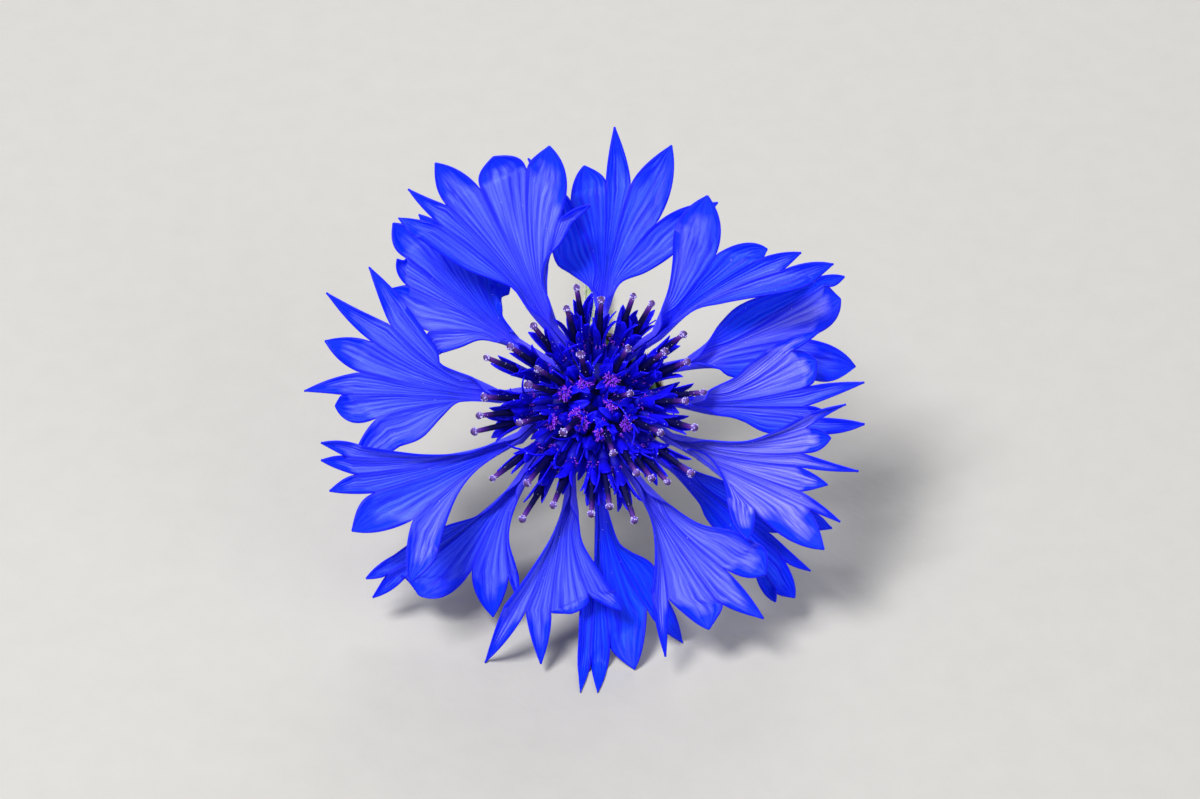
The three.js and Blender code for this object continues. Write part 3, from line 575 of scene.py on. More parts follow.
def tube_rows(ray, index, share):
    """Rings of the floret's tube, from its root in the cup to the mouth of the trumpet."""
    root_angle = math.radians(FIRST_ROOT_ANGLE - index * 360 / len(RAYS))
    x, y = ray["opens"]
    open_angle = math.atan2(y, x)
    open_angle += 2 * math.pi * round((root_angle - open_angle) / (2 * math.pi))
    open_radius = math.hypot(x, y)
    open_depth = LAYERS[ray["layer"]]["start"] - SINK_AT_TUBE + BLADE_ROOT_WIDTH / 2
    # distance from the axis, share of the turn toward the trumpet, and depth
    stations = [
        (RAY_ROOT_CIRCLE, 0, RAY_ROOT_DEPTH),
        (RAY_ROOT_CIRCLE, 0, RAY_BEND_DEPTH),
        (RAY_ROOT_CIRCLE + 0.2, 0.05, CUP_HEIGHT + 0.2),
        (RAY_CREST_CIRCLE, 0.3, CUP_HEIGHT + 0.95),
        ((RAY_CREST_CIRCLE + open_radius) / 2, 0.7, (CUP_HEIGHT + 1.1 + open_depth) / 2 + 0.1),
        (open_radius, 1, open_depth),
    ]
    places = []
    for radius, turned_by, z in stations:
        angle = root_angle + (open_angle - root_angle) * turned_by
        places.append([radius * math.cos(angle), radius * math.sin(angle), z])
    path = smooth_line(places, TUBE_ROWS + 1)
    forward = unit(np.gradient(path, axis=0))
    out = unit(path[:, :2])
    right = np.column_stack([out[:, 1], -out[:, 0], np.zeros(len(path))])
    right = unit(right - forward * np.sum(right * forward, axis=1)[:, None])
    up = np.cross(right, forward)
    angle = (2 * share - 1) * CLOSED_TURN / 2
    rings = []
    for i in range(TUBE_ROWS):
        radius = TUBE_RADIUS * (0.8 + 0.2 * i / TUBE_ROWS)
        sideways, down = np.outer(np.sin(angle), right[i]), np.outer(np.cos(angle), up[i])
        rings.append(path[i] + radius * (sideways - down))
    return np.vstack(rings)


print("tubes start", round(RAY_ROOT_DEPTH, 1), "mm above the head's foot")

# %% Ray florets
PETAL_THICKNESS = 0.15
TABLE_CLEARANCE = 0.12
EDGE_BANDS = 4  # the trumpet's edge mark reaches in over one part in this many of a lobe
DUST_ROW = 5  # pollen may land on every 37th point of a blade from this row on
DUST_STEP = 37
petal_dust = []


def ray_floret(ray, index):
    """A whole ray floret as one sheet: rolled tube, opening trumpet and free lobes."""
    count = len(ray["tips"])
    columns = count * LOBE_COLUMNS + 1
    share = np.linspace(0, 1, columns)
    seams = floret_seams(ray)
    joined = [tube_rows(ray, index, share)]
    joined += [blade_row(ray, seams, i, share) for i in range(BLADE_ROWS)]
    points = np.vstack(joined)
    rows = TUBE_ROWS + BLADE_ROWS
    faces = grid_faces(rows, columns)
    petal_dust.extend(points[(TUBE_ROWS + DUST_ROW) * columns :: DUST_STEP])
    # marks of the tube and the blade
    blade = np.linspace(0, 1, BLADE_ROWS)
    across = np.tile(share * count, rows)
    along = np.repeat(np.r_[np.linspace(-1, 0, TUBE_ROWS, endpoint=False), blade], columns)
    edge = np.maximum(1 - count * np.minimum(share, 1 - share) * EDGE_BANDS, 0)
    border = np.r_[np.zeros(TUBE_ROWS * columns), np.outer(blade, edge).ravel()]
    # lobes, each joined to the blade's last row
    wide = LOBE_COLUMNS + 1
    for k in range(count):
        last_row = (rows - 1) * columns + k * LOBE_COLUMNS
        base = points[last_row : last_row + wide]
        lobe = lobe_grid(ray, seams, k, base, *ray["tips"][k])
        first = len(points)
        points = np.vstack([points, lobe])
        for j in range(LOBE_COLUMNS):
            faces.append([last_row + j, last_row + j + 1, first + j + 1, first + j])
        faces += grid_faces(LOBE_ROWS, wide, first)
        steps = np.repeat(np.arange(1, LOBE_ROWS + 1) / LOBE_ROWS, wide)
        u = np.tile(np.linspace(0, 1, wide), LOBE_ROWS)
        across = np.r_[across, k + u]
        along = np.r_[along, 1 + steps]
        # the border mark grows toward a lobe's sides, and toward its tip
        sides = np.abs(2 * u - 1) * np.minimum(steps * 3, 1)
        border = np.r_[border, np.maximum(sides, smoothstep(steps * 1.2 - 0.2))]
    # lowest petals flatten where they meet the table
    table = surface_depth(points[:, 1]) + TABLE_CLEARANCE / RISE
    points[:, 2] = np.maximum(points[:, 2], table)
    # painted light: the pale mark, high where the petal faces the light, low where it lies in shade
    pale = np.interp(across / count, np.linspace(0, 1, len(ray["pale"])), ray["pale"])
    marks = {"across": across, "along": along, "border": border, "pale": pale}
    number = f"{index + 1:02d}"
    name, solid = "petals_" + number, "ray_floret_" + number
    return thicken(add_piece(name, points, faces, [PETAL], solid, marks), PETAL_THICKNESS)


for index, ray in enumerate(RAYS):
    ray_floret(ray, index)
print("faces in the ray florets:", sum(pieces_made.values()))

# %% [markdown]
# ## The florets of the tuft
# Each disc floret is a dark blue tube that splits into five narrow straps. A column of five
# joined anthers, almost black, stands out of it and leans away from the middle. At its foot sits
# a tuft of magenta filament hairs, and at its end a lilac stigma dusted with white pollen.
# Shaping 59 florets by hand would take days. Instead, rods swept along a path and small grids
# make all their parts, and a bunch joins the shapes of one tissue into one mesh.

# %% Sweeps
def sweep(path, radii, sides, flutes=0, flute_depth=0.0):
    """A round or fluted rod along a path, closed at both ends. Returns points and faces."""
    path = np.asarray(path, float)
    forward = unit(np.gradient(path, axis=0))
    # any side direction does to start with, unless the path itself runs along it
    side = np.array([1.0, 0.0, 0.0]) if abs(forward[0, 0]) < 0.9 else np.array([0.0, 1.0, 0.0])
    turn = np.linspace(0, 2 * math.pi, sides, endpoint=False)
    shape = 1 - flute_depth * (0.5 - 0.5 * np.cos(flutes * turn))
    points = []
    for centre, ahead, radius in zip(path, forward, radii):
        side = unit(side - ahead * (side @ ahead))
        over = np.cross(ahead, side)
        ring = np.outer(np.cos(turn) * shape, side) + np.outer(np.sin(turn) * shape, over)
        points.append(centre + radius * ring)
    faces = grid_faces(len(path), sides, closed=True)
    last = (len(path) - 1) * sides
    faces.append(list(range(sides))[::-1])
    faces.append(list(range(last, last + sides)))
    return np.vstack(points), faces


def square_to(axis):
    """Two directions square to an axis and to each other."""
    first = unit(np.cross(axis, [0.3, 0.2, 1.0]))
    return first, np.cross(axis, first)


def spoke(axis, turn):
    """One direction square to an axis, turned about it."""
    first, second = square_to(axis)
    return first * math.cos(turn) + second * math.sin(turn)


rod_faces = sweep([[0, 0, 0], [0, 0, 1], [0, 0, 2]], [1, 1, 1], 8)[1]
print("faces in an eight-sided rod of three rings:", len(rod_faces))

# %% Bunches
class Bunch:
    """Collects many small shapes with their marks, to be made into one piece."""

    def __init__(self, *mark_names):
        self.points = []
        self.faces = []
        self.marks = {name: [] for name in mark_names}
        self.count = 0

    def add(self, points, faces, **marks):
        """Adds one shape, with one value per point or one for all its points in each mark."""
        self.faces += [[i + self.count for i in face] for face in faces]
        self.points.append(points)
        self.count += len(points)
        for name, values in marks.items():
            self.marks[name].append(np.broadcast_to(values, len(points)))

    def add_rod(self, path, radii, sides, flutes=0, flute_depth=0.0):
        """Adds a swept rod, whose along mark runs from 0 at its foot to 1 at its end."""
        points, faces = sweep(path, radii, sides, flutes, flute_depth)
        self.add(points, faces, along=np.repeat(np.linspace(0, 1, len(path)), sides))

    def make(self, name, materials, stands_for=None):
        """Makes one piece of all the shapes."""
        marks = {key: np.concatenate(values) for key, values in self.marks.items()}
        points = np.vstack(self.points)
        return add_piece(name, points, self.faces, materials, stands_for, marks)


corollas = Bunch("along", "edge")
straps = Bunch("along", "edge")
print("corollas and straps carry the marks", list(corollas.marks))

# %% [markdown]
# ## Finishes of the tuft
# A disc floret holds the same pigment as the rays, but more of it in thicker tissue, so it looks
# inky. Toward its foot, deep in the tuft, its colour is painted darker as shade, and only its edges
# are painted lighter as highlight. The anthers are dry and almost black, the filament hairs soft
# and magenta, the stigmas velvety, and pollen is a dry white powder. Each gets a short node tree
# that mixes colours along a mark and adds a little relief. Plant cells are some 0.02 mm wide, too
# fine to show, so every noise here is drawn several times coarser than life.

# %% Corolla tissue
BLOTCH = 0.8 * MM


def disc_tissue():
    """Dark blue corolla tissue, thicker and deeper in colour than the rays', with lit edges."""
    material, tree, shader = new_material("disc_tissue", Roughness=0.6, Specular_IOR_Level=0.15)
    along = add_node(tree, "Attribute", output="Fac", attribute_name="along")
    edge = add_node(tree, "Attribute", output="Fac", attribute_name="edge")
    place = add_node(tree, "TexCoord", output="Object")
    blotch = add_node(tree, "TexNoise", {"Vector": place, "Scale": 1 / BLOTCH, "Detail": 3.0})
    spread = {"Value": blotch, "From Min": 0.4, "From Max": 0.65, "To Max": 0.7}
    blotch = add_node(tree, "MapRange", spread)
    # painted shade: low along each floret, deep in the tuft, the colour turns to the dark tube
    # blue; painted highlight: the edge mark lightens strap edges and bud seams to the lit blue
    outer = add_node(tree, "MapRange", {"Value": along, "From Min": 0.3, "From Max": 0.75})
    tube, lobe, lit = linear("#02004c"), linear("#0800e0"), linear("#1406ff")
    colour = add_node(tree, "Mix", {0: outer, 6: tube, 7: lobe}, 2, data_type="RGBA")
    colour = add_node(tree, "Mix", {0: edge, 6: colour, 7: lit}, 2, data_type="RGBA")
    inky = linear("#040094")
    colour = add_node(tree, "Mix", {0: blotch, 6: colour, 7: inky}, 2, data_type="RGBA")
    finish_material(tree, shader, colour, blotch, 0.04)
    return material


DISC_TISSUE = disc_tissue()
print("blotches in the corolla tissue, mm:", round(BLOTCH / MM, 2))

# %% Anther skin
ANTHER_GRAIN = 0.12 * MM


def anther_skin():
    """The anther column: a dry, almost black navy skin with a wine red band near its end."""
    material, tree, shader = new_material(
        "anther_skin", Roughness=0.5, IOR=1.33, Specular_IOR_Level=0.3
    )
    along = add_node(tree, "Attribute", output="Fac", attribute_name="along")
    place = add_node(tree, "TexCoord", output="Object")
    speck = add_node(tree, "TexNoise", {"Vector": place, "Scale": 1 / ANTHER_GRAIN, "Detail": 2.0})
    foot = add_node(tree, "MapRange", {"Value": along, "From Max": 0.14})
    band = add_node(tree, "MapRange", {"Value": along, "From Min": 0.8, "From Max": 0.92})
    end = add_node(tree, "MapRange", {"Value": along, "From Min": 0.93})
    violet, navy, wine, mauve = map(linear, ("#3a08a0", "#02003c", "#3c1278", "#5a2c86"))
    colour = add_node(tree, "Mix", {0: foot, 6: violet, 7: navy}, 2, data_type="RGBA")
    colour = add_node(tree, "Mix", {0: band, 6: colour, 7: wine}, 2, data_type="RGBA")
    colour = add_node(tree, "Mix", {0: end, 6: colour, 7: mauve}, 2, data_type="RGBA")
    finish_material(tree, shader, colour, speck, 0.04)
    return material


ANTHER = anther_skin()
print("grain of the anther skin, mm:", round(ANTHER_GRAIN / MM, 2))

# %% Hair finish
def hair_finish(name, root, point, depth_mm, **surface):
    """A finish for hairs and teeth, which blends from the root's colour to the point's."""
    material, tree, shader = new_material(name, **surface)
    along = add_node(tree, "Attribute", output="Fac", attribute_name="along")
    colours = {0: along, 6: linear(root), 7: linear(point)}
    colour = add_node(tree, "Mix", colours, 2, data_type="RGBA")
    finish_material(tree, shader, colour, along, depth_mm)
    return material


# living hairs full of violet sap: a soft glow at their edges, brightest at the points
glow = {"Roughness": 0.5, "Sheen_Weight": 0.2, "Sheen_Tint": linear("#e0a0ff")}
FILAMENT = hair_finish("filament_hair", "#3002c8", "#9a1cf0", 0.02, **glow)
print("the filament hairs' sheen:", glow["Sheen_Weight"])

# %% Stigma skin and pollen
VELVET = 0.08 * MM
POLLEN_PATCH = 0.4 * MM


def stigma_skin():
    """Violet stigma skin, velvety with tiny hairs, darker toward its end."""
    material, tree, shader = new_material("stigma_skin", Roughness=0.6)
    along = add_node(tree, "Attribute", output="Fac", attribute_name="along")
    place = add_node(tree, "TexCoord", output="Object")
    velvet = add_node(tree, "TexNoise", {"Vector": place, "Scale": 1 / VELVET})
    side, end = linear("#6c4ab4"), linear("#38145c")
    colour = add_node(tree, "Mix", {0: along, 6: side, 7: end}, 2, data_type="RGBA")
    finish_material(tree, shader, colour, velvet, 0.04)
    return material


def pollen_grain():
    """Dry white grains with a lilac cast, much larger than life so that they show."""
    material, tree, shader = new_material("pollen_grain", Roughness=0.8)
    place = add_node(tree, "TexCoord", output="Object")
    patch = add_node(tree, "TexNoise", {"Vector": place, "Scale": 1 / POLLEN_PATCH})
    lilac, white = linear("#7c70d0"), linear("#d2caf6")
    colour = add_node(tree, "Mix", {0: patch, 6: lilac, 7: white}, 2, data_type="RGBA")
    finish_material(tree, shader, colour, patch, 0.01)
    return material


STIGMA = stigma_skin()
POLLEN = pollen_grain()
print("materials so far:", [material.name for material in bpy.data.materials])

# %% [markdown]
# ## Where the disc florets stand
# The older florets, round the outside, are open and lean out. Real ones jostle, so no spiral
# fits them, and the place of each stigma is listed here instead. Lower, unfinished florets fill
# the ring between them. Those do follow a sunflower spiral, each the golden angle round from the
# one before. Every floret runs from its root, over a shoulder, to its mouth and on to its tip.

# %% Places in the tuft
OPEN_FLORETS = [
    [-1.5, 9.4], [-2.3, 7.7], [0.5, 8.4], [3.1, 8.7], [4.6, 8.1], [7.2, 5.6], [5.7, 4.2],
    [7.5, 3.4], [8.8, 0.9], [7.4, 0.2], [2.9, 0.8], [5.4, -2.4], [8.1, -2.0], [7.8, -5.7],
    [5.9, -6.4], [4.6, -6.1], [3.4, -5.7], [1.5, -4.1], [1.2, -8.4], [3.2, -9.5], [-0.3, -9.0],
    [-3.4, -8.3], [-5.9, -9.4], [-5.5, -6.5], [-8.3, -6.1], [-9.8, -2.3], [-9.4, -1.0],
    [-6.2, -1.6], [-9.0, 0.5], [-5.5, 1.5], [-8.8, 3.7], [-6.9, 4.6], [-5.0, 6.3], [-4.7, 2.8],
    [-1.2, 4.0], [2.7, 4.5], [-2.6, -2.4],
]
UNFINISHED = 22
GOLDEN_ANGLE = math.radians(137.5)
print("disc florets open:", len(OPEN_FLORETS), "and unfinished:", UNFINISHED)

# %% Paths of the disc florets
ROOT_CIRCLE, ROOT_DEPTH = 1.7, 14.6
SHOULDER_CIRCLE, SHOULDER_DEPTH = 3.0, 16.6
FLORET_TOP = 23.0
TOP_FALL = 0.08  # the tuft is a dome, lower by this much per millimetre from its middle
MOUTH_SHARE = 0.54
ANTHER_HEIGHT = 4.3
UNFINISHED_RING = 3.4
UNFINISHED_SPREAD = 3.0
UNFINISHED_DROP = (1.9, 0.35)  # in the middle, and more for each millimetre from it
MOUTH_OUT = [1.2, 1.2, 1]
TIP_OUT = [1.35, 1.35, 1]


def floret_path(x, y):
    """Root, shoulder, mouth and tip of one floret, all in the plane through the head's axis."""
    reach = math.hypot(x, y)
    top = FLORET_TOP - TOP_FALL * reach
    out = np.array([x, y, 0]) / reach
    root = out * ROOT_CIRCLE + UP * ROOT_DEPTH
    shoulder = out * min(SHOULDER_CIRCLE, reach * 0.45) + UP * SHOULDER_DEPTH
    mouth = out * reach * min(MOUTH_SHARE, 0.2 + 0.04 * reach) + UP * (top - ANTHER_HEIGHT)
    return root, shoulder, mouth, np.array([x, y, top])


def unfinished_path(i):
    """The same for an unfinished floret, which leans out further and stays lower."""
    turn = i * GOLDEN_ANGLE
    reach = UNFINISHED_RING + UNFINISHED_SPREAD * i / UNFINISHED
    root, shoulder, mouth, tip = floret_path(reach * math.cos(turn), reach * math.sin(turn))
    drop = np.array([0, 0, UNFINISHED_DROP[0] + UNFINISHED_DROP[1] * reach])
    return root, shoulder, mouth * MOUTH_OUT - drop / 2, tip * TIP_OUT - drop


print("tip of the first floret:", floret_path(*OPEN_FLORETS[0])[3].round(1).tolist())

# %% [markdown]
# ## Corollas
# A disc floret's corolla is a narrow tube that swells at its mouth and splits into five straps.
# A strap is a strip of tissue with a cupped cross-section, which runs on along the floret and
# then curls away from it. A cloth simulation could curl it, but here each step along the strap
# just leans a little more than the last, which is quick and gives the same curl on every run.
# Chance varies length, width and curl, and gives every second floret one thin stray strap.

# %% Strap lobes
STRAP_ROWS = 12
STRAP_SIDES = np.array([-1, -0.5, 0, 0.5, 1])
STRAP_FIRST_LEAN = math.radians(3)
STRAP_END = 0.02
STRAP_CUPPING = 0.5


def strap(foot, axis, away, length, width, lift, drift):
    """One strap: it runs on along the floret, then curls away from it and drifts sideways."""
    across = np.cross(axis, away)
    t = np.linspace(0, 1, STRAP_ROWS)
    lean = STRAP_FIRST_LEAN + lift * t**1.5
    steps = np.outer(np.cos(lean), axis) + np.outer(np.sin(lean), away)
    steps = steps + np.outer(drift * t, across)
    walked = np.vstack([np.zeros(3), np.cumsum(unit(steps[1:]), axis=0)])
    middle = foot + walked * length / (STRAP_ROWS - 1)
    half = (width / 2 * (0.5 + 0.7 * t) * (1 - t**5) + STRAP_END)[:, None]
    outward = unit(np.cross(across, np.gradient(middle, axis=0)))
    columns = []
    for side in STRAP_SIDES:
        columns.append(middle + side * half * across - STRAP_CUPPING * side**2 * half * outward)
    points = np.stack(columns, axis=1).reshape(-1, 3)
    faces = grid_faces(STRAP_ROWS, len(STRAP_SIDES))
    along = np.repeat(0.3 + 0.7 * t, len(STRAP_SIDES))
    straps.add(points, faces, along=along, edge=np.tile(np.abs(STRAP_SIDES) ** 3, STRAP_ROWS))


print("points in a strap:", STRAP_ROWS * len(STRAP_SIDES))

# %% Corollas
LOBES = 5
STRAP_LENGTH = 4.6
STRAP_WIDTH = 0.98
TUBE_SIDES = 10
COROLLA_RADII = [0.3, 0.3, 0.3, 0.32, 0.36, 0.42, 0.5, 0.52, 0.46]
STRAP_CIRCLE = 0.36
STRAP_LIFT = math.radians(30)
STRAP_UPWARD_LOSS = 0.45
STRAY_SHARE = 0.5
STRAY_LENGTH = 0.8 * STRAP_LENGTH
STRAY_WIDTH = 0.16


def corolla(root, shoulder, mouth, tip):
    """The tube and its five straps, shorter near the head's middle and where they point up."""
    axis = unit(tip - mouth)
    path = smooth_line([root, shoulder, mouth, mouth + axis * 0.25], len(COROLLA_RADII))
    tube, faces = sweep(path, COROLLA_RADII, TUBE_SIDES)
    corollas.add(tube, faces, along=np.repeat(np.linspace(0, 0.5, len(path)), TUBE_SIDES), edge=0.1)
    grown = min(1, 0.1 + np.linalg.norm(tip[:2]) / 9)
    start = rng.uniform(0, 2 * math.pi)
    for k in range(LOBES):
        away = spoke(axis, start + 2 * math.pi * k / LOBES + rng.normal(0, 0.15))
        length = STRAP_LENGTH * grown * rng.uniform(0.75, 1.05)
        length *= 1 - STRAP_UPWARD_LOSS * max(away[2], 0)
        width = STRAP_WIDTH * rng.uniform(0.6, 1.05)
        lift = STRAP_LIFT * rng.uniform(0, 1) ** 2
        foot = mouth + away * STRAP_CIRCLE
        strap(foot, axis, away, length, width, lift, rng.normal(0, 0.15))
    if rng.random() < STRAY_SHARE:
        away = square_to(axis)[0]
        strap(mouth, axis, away, STRAY_LENGTH, STRAY_WIDTH, 1.2, rng.normal(0, 1.2))


for x, y in OPEN_FLORETS:
    corolla(*floret_path(x, y))
for i in range(UNFINISHED):
    corolla(*unfinished_path(i))
print("straps:", len(straps.points))

# %% [markdown]
# ## Unopened florets in the middle
# The youngest florets stand in the middle, still shut: blunt spindles with five seams, lower than
# the open ones, so the tuft has a dark hollow at its heart. The same spiral spaces them evenly.
# Eleven straps stand round them and curl inward over them, as young florets' lobes do.

# %% Buds
BUD_COUNT = 16
BUD_SPREAD = 0.78
BUD_RADII = [0.4, 0.5, 0.6, 0.66, 0.68, 0.64, 0.5, 0.3, 0.06]
BUD_FOOT_DEPTH = 16.8
BUD_SIDES = 20
BUD_LEAN = 0.16
BUD_HEIGHT = 1.4
BUD_GROWTH = 0.75  # buds stand taller by this much per millimetre from the middle


def bud(place, height, size):
    """A shut floret: a spindle with five seams, leaning a little out of line."""
    lean = np.array([place[0] * BUD_LEAN, place[1] * BUD_LEAN, 0])
    lean = lean + np.array([*rng.normal(0, 0.25, 2), 0])
    t = np.linspace(0, 1, len(BUD_RADII))[:, None]
    path = np.array([*place, BUD_FOOT_DEPTH]) + lean * t**2 + np.array([0, 0, height]) * t
    points, faces = sweep(path, np.array(BUD_RADII) * size, BUD_SIDES, LOBES, 0.25)
    turn = np.linspace(0, 2 * math.pi, BUD_SIDES, endpoint=False)
    seam = np.tile(0.5 + 0.5 * np.cos(LOBES * turn), len(t))
    corollas.add(points, faces, along=np.repeat(0.3 + 0.6 * t[:, 0], BUD_SIDES), edge=seam * 0.7)


for i in range(BUD_COUNT):
    distance = BUD_SPREAD * math.sqrt(i + 0.2)
    place = distance * np.array([math.cos(i * GOLDEN_ANGLE), math.sin(i * GOLDEN_ANGLE)])
    height = BUD_HEIGHT + BUD_GROWTH * distance + rng.uniform(-0.2, 0.2)
    bud(place, height, rng.uniform(0.85, 1.05))
print("buds:", BUD_COUNT)

# %% Straps that shelter the buds
SHELTER_COUNT = 11
SHELTER_FOOT_DEPTH = 17.6
SHELTER_WIDTH = 0.8
for i in range(SHELTER_COUNT):
    turn = i * GOLDEN_ANGLE
    out = np.array([math.cos(turn), math.sin(turn), 0])
    foot = out * rng.uniform(1.7, 2.9) + UP * SHELTER_FOOT_DEPTH
    upward = unit(UP + out * 0.1)
    length, lift, drift = rng.uniform(2.4, 3.4), rng.uniform(0.9, 1.8), rng.normal(0, 0.35)
    strap(foot, upward, -out, length, SHELTER_WIDTH, lift, drift)
print("straps with those that shelter the buds:", len(straps.points))

# %% [markdown]
# ## Packed tubes in the cup
# Inside the cup, the tubes of all the disc florets press together. Nobody sees them one by one,
# so a single fluted column stands for them. It is turned from a profile, like a vase, and its
# rounded shoulder closes the view between the florets. After it, the two bunches become pieces.

# %% Packed tubes
PACKED_PROFILE = [
    [0.05, 5.5], [2.2, 5.6], [2.6, 6.2], [2.6, 10], [2.65, 13.4], [3.3, 16], [3.9, 16.9],
    [3.3, 17.5], [0.05, 17.9],
]
PACKED_ROWS = 40
PACKED_SIDES = 96
FLUTES = 16
FLUTE_DEPTH = 0.07
STRAP_THICKNESS = 0.11


def packed_tubes():
    """The tubes of all the disc florets, pressed together inside the cup: a fluted column."""
    turn = np.linspace(0, 2 * math.pi, PACKED_SIDES, endpoint=False)
    flute = 1 - FLUTE_DEPTH * (0.5 - 0.5 * np.cos(FLUTES * turn))
    rings = []
    for r, z in smooth_line(PACKED_PROFILE, PACKED_ROWS):
        ring = [r * flute * np.cos(turn), r * flute * np.sin(turn), 0 * turn + z]
        rings.append(np.column_stack(ring))
    faces = grid_faces(PACKED_ROWS, PACKED_SIDES, closed=True)
    last = (PACKED_ROWS - 1) * PACKED_SIDES
    faces += [list(range(PACKED_SIDES))[::-1], list(range(last, last + PACKED_SIDES))]
    # painted shade: with along 0 the whole column takes the dark tube blue, standing for the shade
    # in the gaps between the florets
    corollas.add(np.vstack(rings), faces, along=0.0, edge=0.0)


packed_tubes()
corollas.make("disc_corollas", [DISC_TISSUE], "disc_florets")
thicken(straps.make("disc_straps", [DISC_TISSUE]), STRAP_THICKNESS)
print("faces in the disc corollas:", pieces_made["disc_corollas"] + pieces_made["disc_straps"])

# %% [markdown]
# ## Anthers, filament hairs and stigmas
# Five anthers join edge to edge in a dark column. The stigma pushes up through it like a plunger
# and carries the pollen out on its end. A swept rod with five flutes makes the column, tapered
# hairs make the tuft round its foot, and a blunt rod makes the knob. Blender's hair system would
# make finer hairs, but an export keeps only meshes. Each shape also notes where pollen clings.

# %% Anther columns
ANTHER_RADIUS = 0.25
ANTHER_RADII = [0.8, 0.85, 0.95, 1, 1.05, 1.08, 1.08, 1.05, 1.0, 0.95, 0.9, 0.8]
ANTHER_SIDES = 20
ANTHER_BOW = 0.3
ANTHER_GRAINS = 12
anthers = Bunch("along")
pollen_places = []


def anther_column(mouth, tip):
    """Five anthers joined in a tube, which bows a little and narrows to its end."""
    axis = unit(tip - mouth)
    bow = (mouth + tip) / 2 + UP * ANTHER_BOW
    path = smooth_line([mouth - axis * 0.3, bow, tip - axis * 0.5], len(ANTHER_RADII))
    anthers.add_rod(path, ANTHER_RADIUS * np.array(ANTHER_RADII), ANTHER_SIDES, LOBES, 0.2)
    for _ in range(ANTHER_GRAINS):
        side = unit(rng.normal(0, 1, 3))
        place = path[rng.integers(3, len(path))] + side * ANTHER_RADIUS * 1.05
        pollen_places.append((place, 0.6))
    return path[-1], unit(path[-1] - path[-2])


print("anther columns are", 2 * ANTHER_RADIUS, "mm thick")

# %% Stigmas
KNOB_RADII = [0.16, 0.26, 0.32, 0.31, 0.24, 0.13]
KNOB_HEIGHT = 0.55
KNOB_SINK = 0.05
KNOB_SIDES = 10
KNOB_GRAINS = 22
stigmas = Bunch("along")


def stigma(end, axis):
    """A blunt knob on the end of the column, ringed with pollen that leaves its end bare."""
    levels = np.linspace(0, 1, len(KNOB_RADII))
    path = [end + axis * s for s in np.linspace(-KNOB_SINK, KNOB_HEIGHT - KNOB_SINK, len(levels))]
    size = rng.uniform(0.8, 1.1)
    points, faces = sweep(path, np.array(KNOB_RADII) * size, KNOB_SIDES)
    stigmas.add(points, faces, along=np.repeat(levels**2, KNOB_SIDES))
    for _ in range(KNOB_GRAINS):
        turn = rng.uniform(0, 2 * math.pi)
        level = rng.uniform(0, 0.8)
        radius = size * np.interp(level, levels, KNOB_RADII)
        place = end + axis * (KNOB_HEIGHT * level - KNOB_SINK) + spoke(axis, turn) * radius
        pollen_places.append((place, 1.25))


print("knobs are up to", 2 * max(KNOB_RADII), "mm thick")

# %% Tufts of filament hairs
HAIR_RADII = [0.06, 0.055, 0.03]
HAIR_SIDES = 4
DUSTED_SHARE = 0.25
filaments = Bunch("along")


def tuft(centre, axis, count):
    """A collar of filament hairs that spreads round the foot of the column."""
    for _ in range(count):
        away = spoke(axis, rng.uniform(0, 2 * math.pi))
        foot = centre + away * rng.uniform(0.05, 0.45) + axis * rng.uniform(-0.2, 0.3)
        lean = rng.uniform(0, 1.3)
        end = foot + (axis * math.cos(lean) + away * math.sin(lean)) * rng.uniform(0.2, 0.5)
        filaments.add_rod([foot, (foot + end) / 2 + axis * 0.05, end], HAIR_RADII, HAIR_SIDES)
        if rng.random() < DUSTED_SHARE:
            pollen_places.append((end, 0.55))


print("a hair of the tufts has", HAIR_SIDES, "sides")

# %% All the anthers, stigmas and tufts
TUFTS_INSIDE = [
    [-2.5, 0.8], [-0.8, 1.5], [1.2, 1.9], [1.4, 0.0], [2.5, -1.6], [0.5, -2.4], [-1.1, -1.5],
    [-1.5, -1.0], [-3.4, -1.4],
]
HAIRS_OUTSIDE = 24
HAIRS_INSIDE = 110
TUFT_INSIDE_DEPTH = 19.5
for x, y in OPEN_FLORETS:
    root, shoulder, mouth, tip = floret_path(x, y)
    axis = unit(tip - mouth)
    tuft(mouth + axis * 0.3, axis, HAIRS_OUTSIDE)
    stigma(*anther_column(mouth, tip))
for x, y in TUFTS_INSIDE:
    centre = np.array([x, y, TUFT_INSIDE_DEPTH])
    tuft(centre, unit(np.array([0.15 * x, 0.15 * y, 1.0])), HAIRS_INSIDE)
anthers.make("anther_columns", [ANTHER])
filaments.make("filament_hairs", [FILAMENT])
stigmas.make("stigmas", [STIGMA])
print("hairs in the tufts:", len(filaments.points))

# %% [markdown]
# ## Pollen
# White grains cling to the stigmas and dust whatever lies below. Instancing would be the light
# way to scatter them, but an export wants real meshes, so each grain is the plainest ball there
# is: twelve corners and twenty faces. Besides the places noted above, chance picks points on the
# straps and on the petals near the disc.

# %% One grain
GOLDEN = (1 + math.sqrt(5)) / 2
FACE_EDGE = 1.1


def grain():
    """A twenty-sided grain of radius one: any three corners close together make a face."""
    corners = []
    for a in (-1, 1):
        for b in (-GOLDEN, GOLDEN):
            corners += [(0, a, b), (a, b, 0), (b, 0, a)]
    corners = unit(np.array(corners, float))
    faces = []
    for i, j, k in combinations(range(len(corners)), 3):
        a, b, c = corners[[i, j, k]]
        if max(np.linalg.norm(a - b), np.linalg.norm(b - c), np.linalg.norm(a - c)) < FACE_EDGE:
            facing = np.dot(np.cross(b - a, c - a), a + b + c)
            faces.append([i, j, k] if facing > 0 else [i, k, j])
    return corners, faces


corners, grain_faces = grain()
print("a grain has", len(corners), "corners and", len(grain_faces), "faces")

